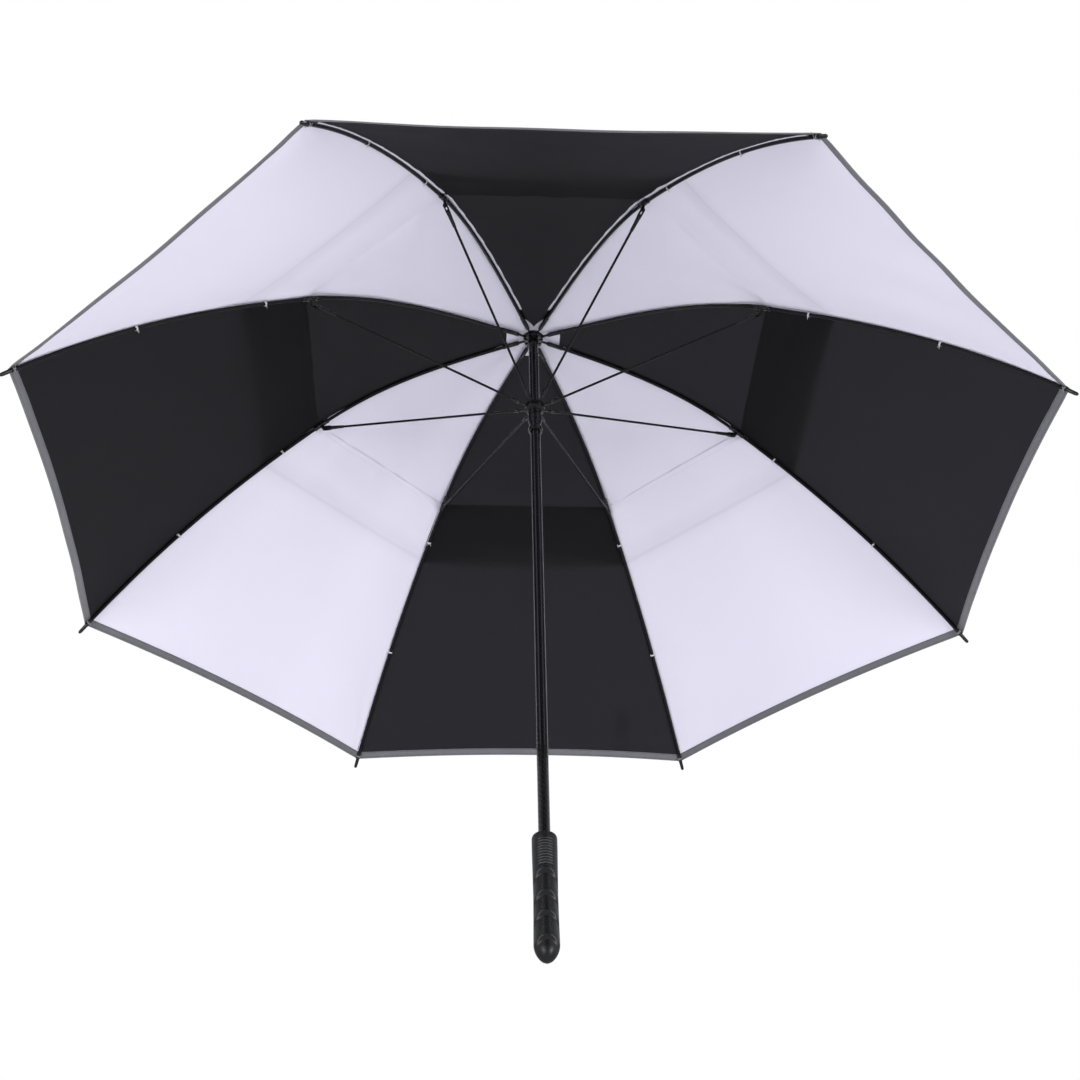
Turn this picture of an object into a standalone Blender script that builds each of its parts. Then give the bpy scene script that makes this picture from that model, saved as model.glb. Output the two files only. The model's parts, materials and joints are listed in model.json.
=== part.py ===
"""Golf umbrella, open: eight ribs, a vented double canopy, a shaft and a straight grip.

Frame: metres, +Z up the shaft. The origin is the middle of the grip, on the shaft's axis.
The ribs stand at 22.5 degrees plus every 45 degrees, so a gore's middle faces +X.
Each rib, stretcher and gore is drawn once in the plane of a rib that points along +X,
and its copies are turned about the shaft.
"""

import math

import bmesh
import bpy
from mathutils import Matrix, Vector

RIBS = 8
FIRST_RIB = math.radians(22.5)
RIB_STEP = 2 * math.pi / RIBS
GAP = 0.0004  # between neighbours that touch on the real umbrella

# the linkage, open, as radius from the shaft's axis and height above the grip's middle
RIM_RADIUS = 0.660
RIM_Z = 0.523
PIVOT_RADIUS = 0.011
HUB_Z = 0.8395
RUNNER_Z = 0.7102
JOINT_RADIUS = 0.3167
JOINT_Z = (HUB_Z + RUNNER_Z) / 2  # midway, so that both legs of the linkage are equal

# the rib's slopes below the horizontal, open
HUB_SLOPE = math.radians(1.3)
JOINT_SLOPE = math.radians(28.5)
RIM_SLOPE = math.radians(47)
HANDLE = 0.35  # a curve's handles, as a share of its chord
CLOSED_ANGLE = math.radians(84)  # of the line from a rib's pivot to its joint, closed

# rods and the pieces on them
RIB_R = 0.0023
ROD_SIDES = 8
STRETCHER_R = 0.0016
LUG_DROP = 0.009  # the stretcher's pin below the rib's centreline
CLAMP_HALF = 0.012
CLAMP_R = 0.0033
LUG_THICK = 0.0018
LUG_R = 0.0026
PIN_R = 0.0009
FORK_THICK = 0.0012
FORK_GAP = 0.0026
FORK_R = 0.0028
FORK_DEPTH = 0.007
SLEEVE_R = 0.0026
SLEEVE_LENGTH = 0.025
BLADE_THICK = 0.0020
BLADE_R = 0.0022
EYE_R = 0.0009
RIB_BLADE = 0.010
RIB_FITTING = 0.024
RIB_FITTING_R = 0.0030
STRETCHER_BLADE = 0.012
TIP_R = 0.0027
TIP_SOCKET = 0.010
TIP_BORE_R = 0.0019
TIP_BEYOND = 0.015
ROD_NECK_R = 0.0015

# the crown, the runner and their wires
SHAFT_R = 0.00675
SHAFT_BORE_R = 0.00475
BORE_R = SHAFT_R + 0.0003
NOTCH_WIDTH = 0.0028
NOTCH_FLOOR_R = 0.0084
NOTCH_REACH = 0.0028
CROWN_R = 0.0133
CROWN_BELOW = 0.005
CROWN_ABOVE = 0.007
RUNNER_FLANGE_R = 0.0133
RUNNER_SLEEVE_R = 0.0095
RUNNER_COLLAR_R = 0.0082
RUNNER_ABOVE = 0.011
RUNNER_BELOW = 0.043
WIRE_R = 0.0005
GROOVE_HALF = 0.0009
GROOVE_FLOOR_R = 0.0101

# the shaft's ends, the grip and the top
SHAFT_BOTTOM = -0.045
SHAFT_TOP = 0.862
GRIP_HALF = 0.077
GRIP_R = 0.01425
GRIP_WAIST_R = 0.0135
FERRULE_BOTTOM = 0.8535
FERRULE_TOP = 0.918
FERRULE_R = 0.0095
FERRULE_END_R = 0.0045
CAP_R = 0.018
CAP_BOTTOM = 0.8474

# cloth, as plates
CLOTH = 0.001
LOWER_OFFSET = 0.0042  # the lower canopy's inner face above the ribs' centreline
UPPER_OFFSET = 0.0064
UPPER_START_R = 0.0150
UPPER_END_R = 0.409
LOWER_START = 0.004  # past the clamp's middle, along the rib
LOWER_BANDS = 5
UPPER_BANDS = 5  # as far as the clamps
LINING_R = 0.036
LINING_THICK = 0.0006
LINING_Z = HUB_Z + 0.0040
STRAP_WIDTH = 0.022
STRAP_THICK = 0.0012
STRAP_Y = -0.160  # its middle line, from the middle of its gore
STRAP_HEM = 0.004

# spring catches in the shaft, on its +Y side
CATCH_THICK = 0.0016
CATCH_LENGTH = 0.026
CATCH_PROUD = 0.0020
CATCH_SLOT = 0.0026

ROUND = 32
FINE_ANGLE = math.radians(50)


def clear_scene():
    for thing in list(bpy.data.objects):
        bpy.data.objects.remove(thing, do_unlink=True)


def material(name, colour, roughness, metallic=0.0):
    made = bpy.data.materials.new(name)
    made.use_nodes = True
    shader = made.node_tree.nodes["Principled BSDF"]
    shader.inputs["Base Color"].default_value = (*colour, 1.0)
    shader.inputs["Roughness"].default_value = roughness
    shader.inputs["Metallic"].default_value = metallic
    made.diffuse_color = (*colour, 1.0)
    return made


def link(name, mesh, finish, turn=0.0):
    """An object of this mesh, turned about the shaft by turn radians."""
    if not mesh.materials:
        mesh.materials.append(finish)
    made = bpy.data.objects.new(name, mesh)
    made.rotation_euler = (0.0, 0.0, turn)
    bpy.context.scene.collection.objects.link(made)
    return made


def finished(name, bm):
    """The bmesh as a mesh with its faces out and its round faces smooth."""
    bmesh.ops.recalc_face_normals(bm, faces=bm.faces)
    mesh = bpy.data.meshes.new(name)
    bm.to_mesh(mesh)
    bm.free()
    mesh.shade_smooth()
    mesh.set_sharp_from_angle(angle=FINE_ANGLE)
    return mesh


def joined(name, solids, cutters=()):
    """One closed mesh: the first solid, united with the others, less the cutters."""
    meshes = [finished(f"{name}_{i}", bm) for i, bm in enumerate([*solids, *cutters])]
    helpers = [bpy.data.objects.new(m.name, m) for m in meshes]
    for helper in helpers:
        bpy.context.scene.collection.objects.link(helper)
    body = helpers[0]
    for helper in helpers[1:]:
        helper.hide_render = True
        helper.display_type = "WIRE"
        modifier = body.modifiers.new(helper.name, "BOOLEAN")
        modifier.solver = "EXACT"
        modifier.operation = "UNION" if helper in helpers[1 : len(solids)] else "DIFFERENCE"
        modifier.object = helper
    bpy.context.view_layer.update()
    seen = body.evaluated_get(bpy.context.evaluated_depsgraph_get())
    mesh = bpy.data.meshes.new_from_object(seen)
    mesh.name = name
    for helper in helpers:
        bpy.data.objects.remove(helper, do_unlink=True)
    tidy = bmesh.new()
    tidy.from_mesh(mesh)
    bmesh.ops.remove_doubles(tidy, verts=tidy.verts, dist=0.000002)
    bmesh.ops.dissolve_limit(tidy, angle_limit=math.radians(0.1), verts=tidy.verts, edges=tidy.edges)
    tidy.to_mesh(mesh)
    tidy.free()
    mesh.shade_smooth()
    mesh.set_sharp_from_angle(angle=FINE_ANGLE)
    return mesh


def turned(profile, sides=ROUND):
    """A body of revolution about +Z from a closed outline of (radius, z) points."""
    bm = bmesh.new()
    points = [bm.verts.new((r, 0.0, z)) for r, z in profile]
    edges = [bm.edges.new((a, b)) for a, b in zip(points, points[1:] + points[:1])]
    bmesh.ops.spin(
        bm, geom=points + edges, axis=(0, 0, 1), cent=(0, 0, 0), steps=sides, angle=2 * math.pi, use_merge=True
    )
    bmesh.ops.remove_doubles(bm, verts=bm.verts, dist=0.000005)
    flat = [e for e in bm.edges if not e.link_faces]
    bmesh.ops.delete(bm, geom=flat, context="EDGES")
    return bm


def tube(path, radii, sides=ROD_SIDES):
    """A rod along points in the XZ plane, with one radius for each point."""
    bm = bmesh.new()
    rings = []
    for i, (point, radius) in enumerate(zip(path, radii)):
        before = path[max(i - 1, 0)]
        after = path[min(i + 1, len(path) - 1)]
        along = Vector((after[0] - before[0], 0.0, after[1] - before[1])).normalized()
        up = Vector((-along.z, 0.0, along.x))
        centre = Vector((point[0], 0.0, point[1]))
        ring = []
        for n in range(sides):
            angle = 2 * math.pi * (n + 0.5) / sides
            out = up * math.cos(angle) + Vector((0, 1, 0)) * math.sin(angle)
            ring.append(bm.verts.new(centre + out * radius / math.cos(math.pi / sides)))
        rings.append(ring)
    for low, high in zip(rings, rings[1:]):
        for n in range(sides):
            m = (n + 1) % sides
            bm.faces.new((low[n], low[m], high[m], high[n]))
    bm.faces.new(rings[0][::-1])
    bm.faces.new(rings[-1])
    return bm


def plate(outline, y_low, y_high):
    """A flat plate across Y with its outline in the XZ plane."""
    bm = bmesh.new()
    low = [bm.verts.new((x, y_low, z)) for x, z in outline]
    face = bm.faces.new(low)
    lifted = bmesh.ops.extrude_face_region(bm, geom=[face])
    top = [v for v in lifted["geom"] if isinstance(v, bmesh.types.BMVert)]
    bmesh.ops.translate(bm, vec=(0, y_high - y_low, 0), verts=top)
    return bm


def across(centre, radius, half, sides=12):
    """A round bar across Y, for pins and eyes."""
    outline = []
    for n in range(sides):
        angle = 2 * math.pi * (n + 0.5) / sides
        outline.append((centre[0] + radius * math.cos(angle), centre[1] + radius * math.sin(angle)))
    return plate(outline, -half, half)


def block(low, high):
    """A box between two corners."""
    bm = bmesh.new()
    bmesh.ops.create_cube(bm, size=1.0)
    size = Vector(high) - Vector(low)
    middle = (Vector(high) + Vector(low)) / 2
    bmesh.ops.transform(bm, matrix=Matrix.Translation(middle) @ Matrix.Diagonal((*size, 1)), verts=bm.verts)
    return bm


def strip_outline(start, end, radius, arc=5):
    """A strip about the line from start to end with a round end at start."""
    (x0, z0), (x1, z1) = start, end
    heading = math.atan2(z1 - z0, x1 - x0)
    points = []
    for n in range(arc + 1):
        angle = heading + math.pi / 2 + math.pi * n / arc
        points.append((x0 + radius * math.cos(angle), z0 + radius * math.sin(angle)))
    side = (math.sin(heading) * radius, -math.cos(heading) * radius)
    points.append((x1 + side[0], z1 + side[1]))
    points.append((x1 - side[0], z1 - side[1]))
    return points


def bezier(start, start_slope, end, end_slope):
    """A function of 0 to 1 along a cubic curve with these slopes below the horizontal."""
    reach = HANDLE * math.dist(start, end)
    a = (start[0] + reach * math.cos(start_slope), start[1] - reach * math.sin(start_slope))
    b = (end[0] - reach * math.cos(end_slope), end[1] + reach * math.sin(end_slope))

    def point(t):
        weights = ((1 - t) ** 3, 3 * t * (1 - t) ** 2, 3 * t * t * (1 - t), t**3)
        return tuple(sum(w * p[i] for w, p in zip(weights, (start, a, b, end))) for i in (0, 1))

    return point


HUB = (PIVOT_RADIUS, HUB_Z)
JOINT = (JOINT_RADIUS, JOINT_Z)
RUNNER = (PIVOT_RADIUS, RUNNER_Z)
CLAMP = (
    JOINT_RADIUS + LUG_DROP * math.sin(JOINT_SLOPE),
    JOINT_Z + LUG_DROP * math.cos(JOINT_SLOPE),
)
inner_curve = bezier(HUB, HUB_SLOPE, CLAMP, JOINT_SLOPE)
outer_curve = bezier(CLAMP, JOINT_SLOPE, (RIM_RADIUS, RIM_Z), RIM_SLOPE)
OUTER_LENGTH = math.dist(CLAMP, (RIM_RADIUS, RIM_Z)) * 1.006


def moved(point, along, slope, up=0.0):
    """A point moved down a slope and up from it."""
    return (
        point[0] + along * math.cos(slope) + up * math.sin(slope),
        point[1] - along * math.sin(slope) + up * math.cos(slope),
    )


def build_rib_inner(finish):
    """Blade with an eye, hub fitting, rod, and the clamp with its lug."""
    blade_end = moved(HUB, RIB_BLADE + 0.004, HUB_SLOPE)
    blade = plate(strip_outline(HUB, blade_end, BLADE_R), -BLADE_THICK / 2, BLADE_THICK / 2)
    fitting = tube(
        [moved(HUB, d, HUB_SLOPE) for d in (RIB_BLADE, RIB_BLADE + 0.004, RIB_BLADE + RIB_FITTING)],
        [BLADE_R, RIB_FITTING_R, RIB_R + 0.0003],
    )
    stations = 10
    rod_path = [inner_curve(0.05 + 0.95 * n / stations) for n in range(stations + 1)]
    rod = tube(rod_path, [RIB_R] * len(rod_path))
    clamp_ends = [moved(CLAMP, d, JOINT_SLOPE) for d in (-CLAMP_HALF, CLAMP_HALF)]
    clamp = tube(clamp_ends, [CLAMP_R, CLAMP_R])
    lug = plate(strip_outline(JOINT, moved(CLAMP, 0.0, JOINT_SLOPE), LUG_R), -LUG_THICK / 2, LUG_THICK / 2)
    eye = across(HUB, EYE_R, BLADE_THICK)
    pin_hole = across(JOINT, PIN_R + GAP, LUG_THICK)
    mesh = joined("rib_inner", [blade, fitting, rod, clamp, lug], [eye, pin_hole])
    for k in range(RIBS):
        link(f"rib_inner_{k + 1}", mesh, finish, FIRST_RIB + k * RIB_STEP)


def build_rib_outer(finish):
    """The rod past the clamp, with a neck that sits in the tip."""
    first = (CLAMP_HALF + 0.0015) / OUTER_LENGTH
    neck = 1 - TIP_SOCKET / OUTER_LENGTH
    stations = 10
    path = [outer_curve(first + (neck - first) * n / stations) for n in range(stations + 1)]
    radii = [RIB_R] * len(path)
    path += [outer_curve(neck + 0.0005 / OUTER_LENGTH), outer_curve(1.0)]
    radii += [ROD_NECK_R, ROD_NECK_R]
    mesh = finished("rib_outer", tube(path, radii))
    for k in range(RIBS):
        link(f"rib_outer_{k + 1}", mesh, finish, FIRST_RIB + k * RIB_STEP)


def build_tips(finish):
    """A blunt cap with a blind socket, on each rib's end."""
    base = (0.0, TIP_SOCKET - 0.0012)
    profile = [
        (TIP_BORE_R, base[1]),
        (TIP_R, base[1]),
        (TIP_R, -TIP_BEYOND + 0.002),
        (TIP_R - 0.0012, -TIP_BEYOND),
        (0.0, -TIP_BEYOND),
        (0.0, -0.0006),
        (TIP_BORE_R, -0.0006),
    ]
    bm = turned(profile, 10)
    lean = Matrix.Rotation(-(math.pi / 2 - RIM_SLOPE), 4, "Y")
    bmesh.ops.transform(bm, matrix=Matrix.Translation((RIM_RADIUS, 0, RIM_Z)) @ lean, verts=bm.verts)
    mesh = finished("tip", bm)
    for k in range(RIBS):
        link(f"tip_{k + 1}", mesh, finish, FIRST_RIB + k * RIB_STEP)


def build_stretchers(finish):
    """Blade with an eye, rod, end sleeve, and a fork whose pin sits in the rib's lug."""
    slope = -math.atan2(JOINT_Z - RUNNER_Z, JOINT_RADIUS - PIVOT_RADIUS)
    length = math.dist(RUNNER, JOINT)
    blade_end = moved(RUNNER, STRETCHER_BLADE + 0.003, slope)
    blade = plate(strip_outline(RUNNER, blade_end, BLADE_R), -BLADE_THICK / 2, BLADE_THICK / 2)
    rod_ends = [STRETCHER_BLADE, STRETCHER_BLADE + 0.006, STRETCHER_BLADE + 0.010, length - FORK_DEPTH - 0.010]
    rod = tube(
        [moved(RUNNER, d, slope) for d in rod_ends],
        [BLADE_R - 0.0002, BLADE_R - 0.0002, STRETCHER_R, STRETCHER_R],
    )
    sleeve_ends = [length - FORK_DEPTH - SLEEVE_LENGTH, length - FORK_DEPTH]
    sleeve = tube([moved(RUNNER, d, slope) for d in sleeve_ends], [SLEEVE_R - 0.0006, SLEEVE_R])
    fork_root = moved(RUNNER, length - FORK_DEPTH - 0.004, slope)
    fork_half = FORK_GAP / 2 + FORK_THICK
    fork = plate(strip_outline(JOINT, fork_root, FORK_R), -fork_half, fork_half)
    mouth_end = moved(RUNNER, length - FORK_DEPTH, slope)
    past = moved(RUNNER, length + 2 * FORK_R, slope)
    mouth = plate(strip_outline(mouth_end, past, FORK_R + 0.001, 1), -FORK_GAP / 2, FORK_GAP / 2)
    pin = across(JOINT, PIN_R, fork_half - 0.0002)
    eye = across(RUNNER, EYE_R, BLADE_THICK)
    forked = joined("fork", [blade, rod, sleeve, fork], [mouth, eye])
    body = bmesh.new()
    body.from_mesh(forked)
    bpy.data.meshes.remove(forked)
    mesh = joined("stretcher", [body, pin])
    for k in range(RIBS):
        link(f"stretcher_{k + 1}", mesh, finish, FIRST_RIB + k * RIB_STEP)


def notches(z_low, z_high):
    """Eight radial slots, as cutters."""
    cutters = []
    for k in range(RIBS):
        cutter = block(
            (NOTCH_FLOOR_R, -NOTCH_WIDTH / 2, z_low),
            (CROWN_R + 0.005, NOTCH_WIDTH / 2, z_high),
        )
        turn = Matrix.Rotation(FIRST_RIB + k * RIB_STEP, 4, "Z")
        bmesh.ops.transform(cutter, matrix=turn, verts=cutter.verts)
        cutters.append(cutter)
    return cutters


def groove(z):
    """The ring that the wire lies in, as a cutter open to the outside."""
    outside = CROWN_R + 0.004
    return turned(
        [
            (outside, z + GROOVE_HALF),
            (outside, z - GROOVE_HALF),
            (GROOVE_FLOOR_R, z - GROOVE_HALF),
            (GROOVE_FLOOR_R, z + GROOVE_HALF),
        ]
    )


def build_crown(finish):
    body = turned(
        [
            (CROWN_R, HUB_Z + CROWN_ABOVE - 0.0015),
            (CROWN_R, HUB_Z - CROWN_BELOW),
            (BORE_R, HUB_Z - CROWN_BELOW),
            (BORE_R, HUB_Z + CROWN_ABOVE),
            (CROWN_R - 0.0015, HUB_Z + CROWN_ABOVE),
        ]
    )
    cutters = notches(HUB_Z - CROWN_BELOW - 0.001, HUB_Z + NOTCH_REACH)
    link("crown", joined("crown", [body], [*cutters, groove(HUB_Z)]), finish)


def build_runner(finish):
    body = turned(
        [
            (RUNNER_COLLAR_R, RUNNER_Z + RUNNER_ABOVE),
            (RUNNER_COLLAR_R, RUNNER_Z + 0.0045),
            (RUNNER_FLANGE_R, RUNNER_Z + 0.0045),
            (RUNNER_FLANGE_R, RUNNER_Z - 0.0050),
            (RUNNER_SLEEVE_R, RUNNER_Z - 0.0080),
            (RUNNER_SLEEVE_R, RUNNER_Z - RUNNER_BELOW),
            (BORE_R, RUNNER_Z - RUNNER_BELOW),
            (BORE_R, RUNNER_Z + RUNNER_ABOVE),
        ]
    )
    cutters = notches(RUNNER_Z - NOTCH_REACH, RUNNER_Z + 0.006)
    link("runner", joined("runner", [body], [*cutters, groove(RUNNER_Z)]), finish)


def build_wire(name, z, finish):
    sides = 6
    profile = []
    for n in range(sides):
        angle = -2 * math.pi * n / sides
        profile.append((PIVOT_RADIUS + WIRE_R * math.cos(angle), z + WIRE_R * math.sin(angle)))
    link(name, finished(name, turned(profile)), finish)


def catch_outline(nose_z, root_z):
    """A leaf whose nose stands proud of the shaft, as (y, z) points, from its root to its nose."""
    way = 1 if nose_z > root_z else -1
    proud = SHAFT_R + CATCH_PROUD
    inside = SHAFT_BORE_R - 0.0005
    return [
        (inside, root_z),
        (inside, nose_z - way * 0.010),
        (proud, nose_z - way * 0.001),
        (proud, nose_z),
        (inside - CATCH_THICK, nose_z),
        (inside - CATCH_THICK, root_z),
    ]


def build_catches(finish):
    """Leaf springs: one under the open runner, one over the closed runner."""
    for name, nose_z, root_z in catch_places():
        outline = catch_outline(nose_z, root_z)
        bm = plate(outline, -CATCH_THICK / 2, CATCH_THICK / 2)
        bmesh.ops.transform(bm, matrix=Matrix.Rotation(math.pi / 2, 4, "Z"), verts=bm.verts)
        link(name, finished(name, bm), finish)


def closed_drop():
    """How far the runner slides down the shaft when the umbrella closes."""
    leg = math.dist(HUB, JOINT)
    return 2 * leg * (math.sin(CLOSED_ANGLE) - (HUB_Z - JOINT_Z) / leg)


def catch_places():
    """Each catch's name, its nose's height and its root's height."""
    under_open = RUNNER_Z - RUNNER_BELOW - GAP
    over_closed = RUNNER_Z + RUNNER_ABOVE + GAP - closed_drop()
    return [
        ("top_catch", under_open, under_open - CATCH_LENGTH),
        ("bottom_catch", over_closed, over_closed + CATCH_LENGTH),
    ]


def build_shaft(finish):
    body = turned(
        [(SHAFT_R, SHAFT_TOP), (SHAFT_R, SHAFT_BOTTOM), (SHAFT_BORE_R, SHAFT_BOTTOM), (SHAFT_BORE_R, SHAFT_TOP)],
        24,
    )
    slots = []
    for _, nose_z, root_z in catch_places():
        low, high = sorted((nose_z, nose_z + (root_z - nose_z) * 0.5))
        slots.append(block((-CATCH_SLOT / 2, 0.001, low - 0.001), (CATCH_SLOT / 2, SHAFT_R + 0.002, high + 0.001)))
    link("shaft", joined("shaft", [body], slots), finish)


def build_grip(finish):
    """A straight grip with a waist, a domed foot and a blind bore for the shaft."""
    foot = 0.018
    profile = [(0.0, -GRIP_HALF)]
    for n in range(1, 6):
        angle = math.pi / 2 * n / 6
        profile.append((GRIP_R * math.sin(angle), -GRIP_HALF + foot * (1 - math.cos(angle))))
    for z, radius in ((-GRIP_HALF + foot, GRIP_R), (-0.030, GRIP_WAIST_R + 0.0003), (0.0, GRIP_WAIST_R)):
        profile.append((radius, z))
    profile += [(GRIP_WAIST_R + 0.0004, 0.030), (GRIP_R, 0.055), (GRIP_R, GRIP_HALF - 0.008)]
    profile += [(GRIP_R - 0.0012, GRIP_HALF - 0.003), (GRIP_R - 0.0042, GRIP_HALF)]
    bore_floor = SHAFT_BOTTOM - 0.0006
    profile += [(BORE_R, GRIP_HALF), (BORE_R, bore_floor), (0.0, bore_floor)]
    link("grip", finished("grip", turned(profile)), finish)


def build_ferrule(finish):
    bore_top = SHAFT_TOP + 0.0006
    profile = [
        (0.0, FERRULE_TOP),
        (0.0, bore_top),
        (BORE_R, bore_top),
        (BORE_R, FERRULE_BOTTOM),
        (FERRULE_R, FERRULE_BOTTOM),
        (FERRULE_R, FERRULE_BOTTOM + 0.008),
        (FERRULE_R - 0.0015, FERRULE_BOTTOM + 0.016),
        (FERRULE_END_R + 0.0008, FERRULE_TOP - 0.002),
        (FERRULE_END_R, FERRULE_TOP),
    ]
    link("ferrule", finished("ferrule", turned(profile, 24)), finish)


def build_top_cap(finish):
    """The washer that clamps the cloth round the shaft."""
    profile = [
        (BORE_R, CAP_BOTTOM),
        (CAP_R, CAP_BOTTOM),
        (CAP_R, CAP_BOTTOM + 0.0012),
        (CAP_R - 0.004, CAP_BOTTOM + 0.0038),
        (FERRULE_R, CAP_BOTTOM + 0.0056),
        (BORE_R, CAP_BOTTOM + 0.0056),
    ]
    link("top_cap", finished("top_cap", turned(profile, 24)), finish)


def build_lining(finish):
    """The disc of cloth between the ribs and the canopy at the crown."""
    inner = CROWN_R + 0.0005
    profile = [
        (inner, LINING_Z),
        (LINING_R, LINING_Z),
        (LINING_R, LINING_Z + LINING_THICK),
        (inner, LINING_Z + LINING_THICK),
    ]
    link("crown_lining", finished("crown_lining", turned(profile, 24)), finish)


def gore_mesh(name, stations, offset):
    """A gore between the ribs at plus and minus half a step from +X, as flat bands of even thickness.

    stations are (radius, z) points along a rib's centreline, from the crown to the rim.
    """
    half = RIB_STEP / 2
    bm = bmesh.new()
    rows = []
    for i, point in enumerate(stations):
        before = stations[max(i - 1, 0)]
        after = stations[min(i + 1, len(stations) - 1)]
        slope = math.atan2(before[1] - after[1], after[0] - before[0])
        row = []
        for up in (offset, offset + CLOTH):
            radius, z = moved(point, 0.0, slope, up)
            for side in (-1, 1):
                wide = radius * math.sin(half) - GAP / 2
                row.append(bm.verts.new((radius * math.cos(half), side * wide, z)))
        rows.append(row)
    for near, far in zip(rows, rows[1:]):
        bm.faces.new((near[0], near[1], far[1], far[0]))
        bm.faces.new((near[2], far[2], far[3], near[3]))
        bm.faces.new((near[0], far[0], far[2], near[2]))
        bm.faces.new((near[1], near[3], far[3], far[1]))
    for row in (rows[0], rows[-1]):
        bm.faces.new((row[0], row[1], row[3], row[2]))
    return finished(name, bm)


def reaches(curve, radius):
    """Where on a curve, from 0 to 1, its radius is this, by halving."""
    low, high = 0.0, 1.0
    for _ in range(40):
        middle = (low + high) / 2
        if curve(middle)[0] < radius:
            low = middle
        else:
            high = middle
    return low


def lower_stations():
    """Points along a rib, from just past the clamp's middle to the rim."""
    start = LOWER_START / OUTER_LENGTH
    return [outer_curve(start + (1 - start) * n / LOWER_BANDS) for n in range(LOWER_BANDS + 1)]


def upper_stations():
    """Points along a rib, from beside the crown to where the upper canopy ends."""
    first = reaches(inner_curve, UPPER_START_R)
    last = reaches(outer_curve, UPPER_END_R)
    inner = [inner_curve(first + (1 - first) * n / UPPER_BANDS) for n in range(UPPER_BANDS + 1)]
    return inner + [outer_curve(last / 2), outer_curve(last)]


def build_gores(black, white):
    """Lower gores from the clamps to the rim, and upper gores from the crown past the clamps."""
    lower = lower_stations()
    upper = upper_stations()
    finishes = (white, black)
    meshes = {}
    for colour, finish in (("white", white), ("black", black)):
        meshes["lower", finish] = gore_mesh(f"lower_gore_{colour}", lower, LOWER_OFFSET)
        meshes["upper", finish] = gore_mesh(f"upper_gore_{colour}", upper, UPPER_OFFSET)
    for k in range(RIBS):
        finish = finishes[k % 2]
        turn = (k + 1) * RIB_STEP
        link(f"lower_gore_{k + 1}", meshes["lower", finish], finish, turn)
        link(f"upper_gore_{k + 1}", meshes["upper", finish], finish, turn)


def build_strap(finish):
    """The closing strap, lying on the outside of a gore beside its rib, up from the hem."""
    inner_end, rim_end = lower_stations()[-2:]
    slope = math.atan2(inner_end[1] - rim_end[1], rim_end[0] - inner_end[0])
    length = math.dist(inner_end, rim_end) - STRAP_HEM
    high = LOWER_OFFSET + CLOTH + 0.0006
    bm = bmesh.new()
    corners = []
    for up in (high, high + STRAP_THICK):
        for back in (STRAP_HEM, length):
            radius, z = moved(rim_end, -back, slope, up)
            for side in (-STRAP_WIDTH / 2, STRAP_WIDTH / 2):
                corners.append(bm.verts.new((radius * math.cos(RIB_STEP / 2), STRAP_Y + side, z)))
    faces = ((0, 1, 3, 2), (4, 6, 7, 5), (0, 4, 5, 1), (2, 3, 7, 6), (0, 2, 6, 4), (1, 5, 7, 3))
    for face in faces:
        bm.faces.new([corners[n] for n in face])
    link("closure_strap", finished("closure_strap", bm), finish, 2 * RIB_STEP)


def main():
    clear_scene()
    fibreglass = material("fibreglass_black", (0.012, 0.012, 0.014), 0.28)
    plastic = material("plastic_black", (0.018, 0.018, 0.020), 0.45)
    shaft_finish = material("shaft_black", (0.010, 0.010, 0.012), 0.18)
    grip_finish = material("grip_black", (0.022, 0.022, 0.023), 0.60)
    steel = material("steel", (0.62, 0.62, 0.64), 0.30, 1.0)
    black = material("cloth_black", (0.020, 0.020, 0.023), 0.75)
    white = material("cloth_white", (0.78, 0.76, 0.86), 0.75)
    build_shaft(shaft_finish)
    build_grip(grip_finish)
    build_crown(plastic)
    build_wire("crown_wire", HUB_Z, steel)
    build_runner(plastic)
    build_wire("runner_wire", RUNNER_Z, steel)
    build_catches(steel)
    build_ferrule(plastic)
    build_top_cap(plastic)
    build_lining(white)
    build_rib_inner(fibreglass)
    build_rib_outer(fibreglass)
    build_tips(plastic)
    build_stretchers(fibreglass)
    build_gores(black, white)
    build_strap(black)


main()
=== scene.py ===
"""Looks of the open golf umbrella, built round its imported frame.

Frame: metres, +Z up the shaft, the origin in the middle of the grip. Rib n stands at
22.5 + 45 (n - 1) degrees about the shaft, and gore n lies between ribs n and n + 1.
Most pieces are drawn in the plane of a rib as (radius, z) and then turned to their rib.
"""

import json
import math

import bmesh
import bpy
import numpy as np
from mathutils import Matrix, Vector


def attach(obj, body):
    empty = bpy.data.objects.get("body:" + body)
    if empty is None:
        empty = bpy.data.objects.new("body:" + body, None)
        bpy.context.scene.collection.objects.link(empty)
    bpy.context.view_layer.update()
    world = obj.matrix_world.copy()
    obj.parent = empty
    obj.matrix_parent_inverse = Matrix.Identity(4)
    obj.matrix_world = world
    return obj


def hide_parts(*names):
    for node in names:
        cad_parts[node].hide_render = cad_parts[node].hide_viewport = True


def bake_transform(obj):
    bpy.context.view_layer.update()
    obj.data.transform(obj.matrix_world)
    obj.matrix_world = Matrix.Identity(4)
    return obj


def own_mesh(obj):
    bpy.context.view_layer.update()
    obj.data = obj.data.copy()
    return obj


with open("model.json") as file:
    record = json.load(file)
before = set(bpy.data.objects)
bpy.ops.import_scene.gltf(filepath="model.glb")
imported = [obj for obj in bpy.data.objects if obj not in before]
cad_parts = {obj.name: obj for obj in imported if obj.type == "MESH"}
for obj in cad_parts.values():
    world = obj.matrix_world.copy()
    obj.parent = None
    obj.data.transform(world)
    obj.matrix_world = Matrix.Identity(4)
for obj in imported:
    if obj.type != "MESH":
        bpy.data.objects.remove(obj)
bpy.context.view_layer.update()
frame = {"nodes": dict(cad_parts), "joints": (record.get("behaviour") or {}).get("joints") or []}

RIBS = 8
ALL_RIBS = range(1, RIBS + 1)
FIRST_RIB = math.radians(22.5)
RIB_STEP = 2 * math.pi / RIBS
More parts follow.
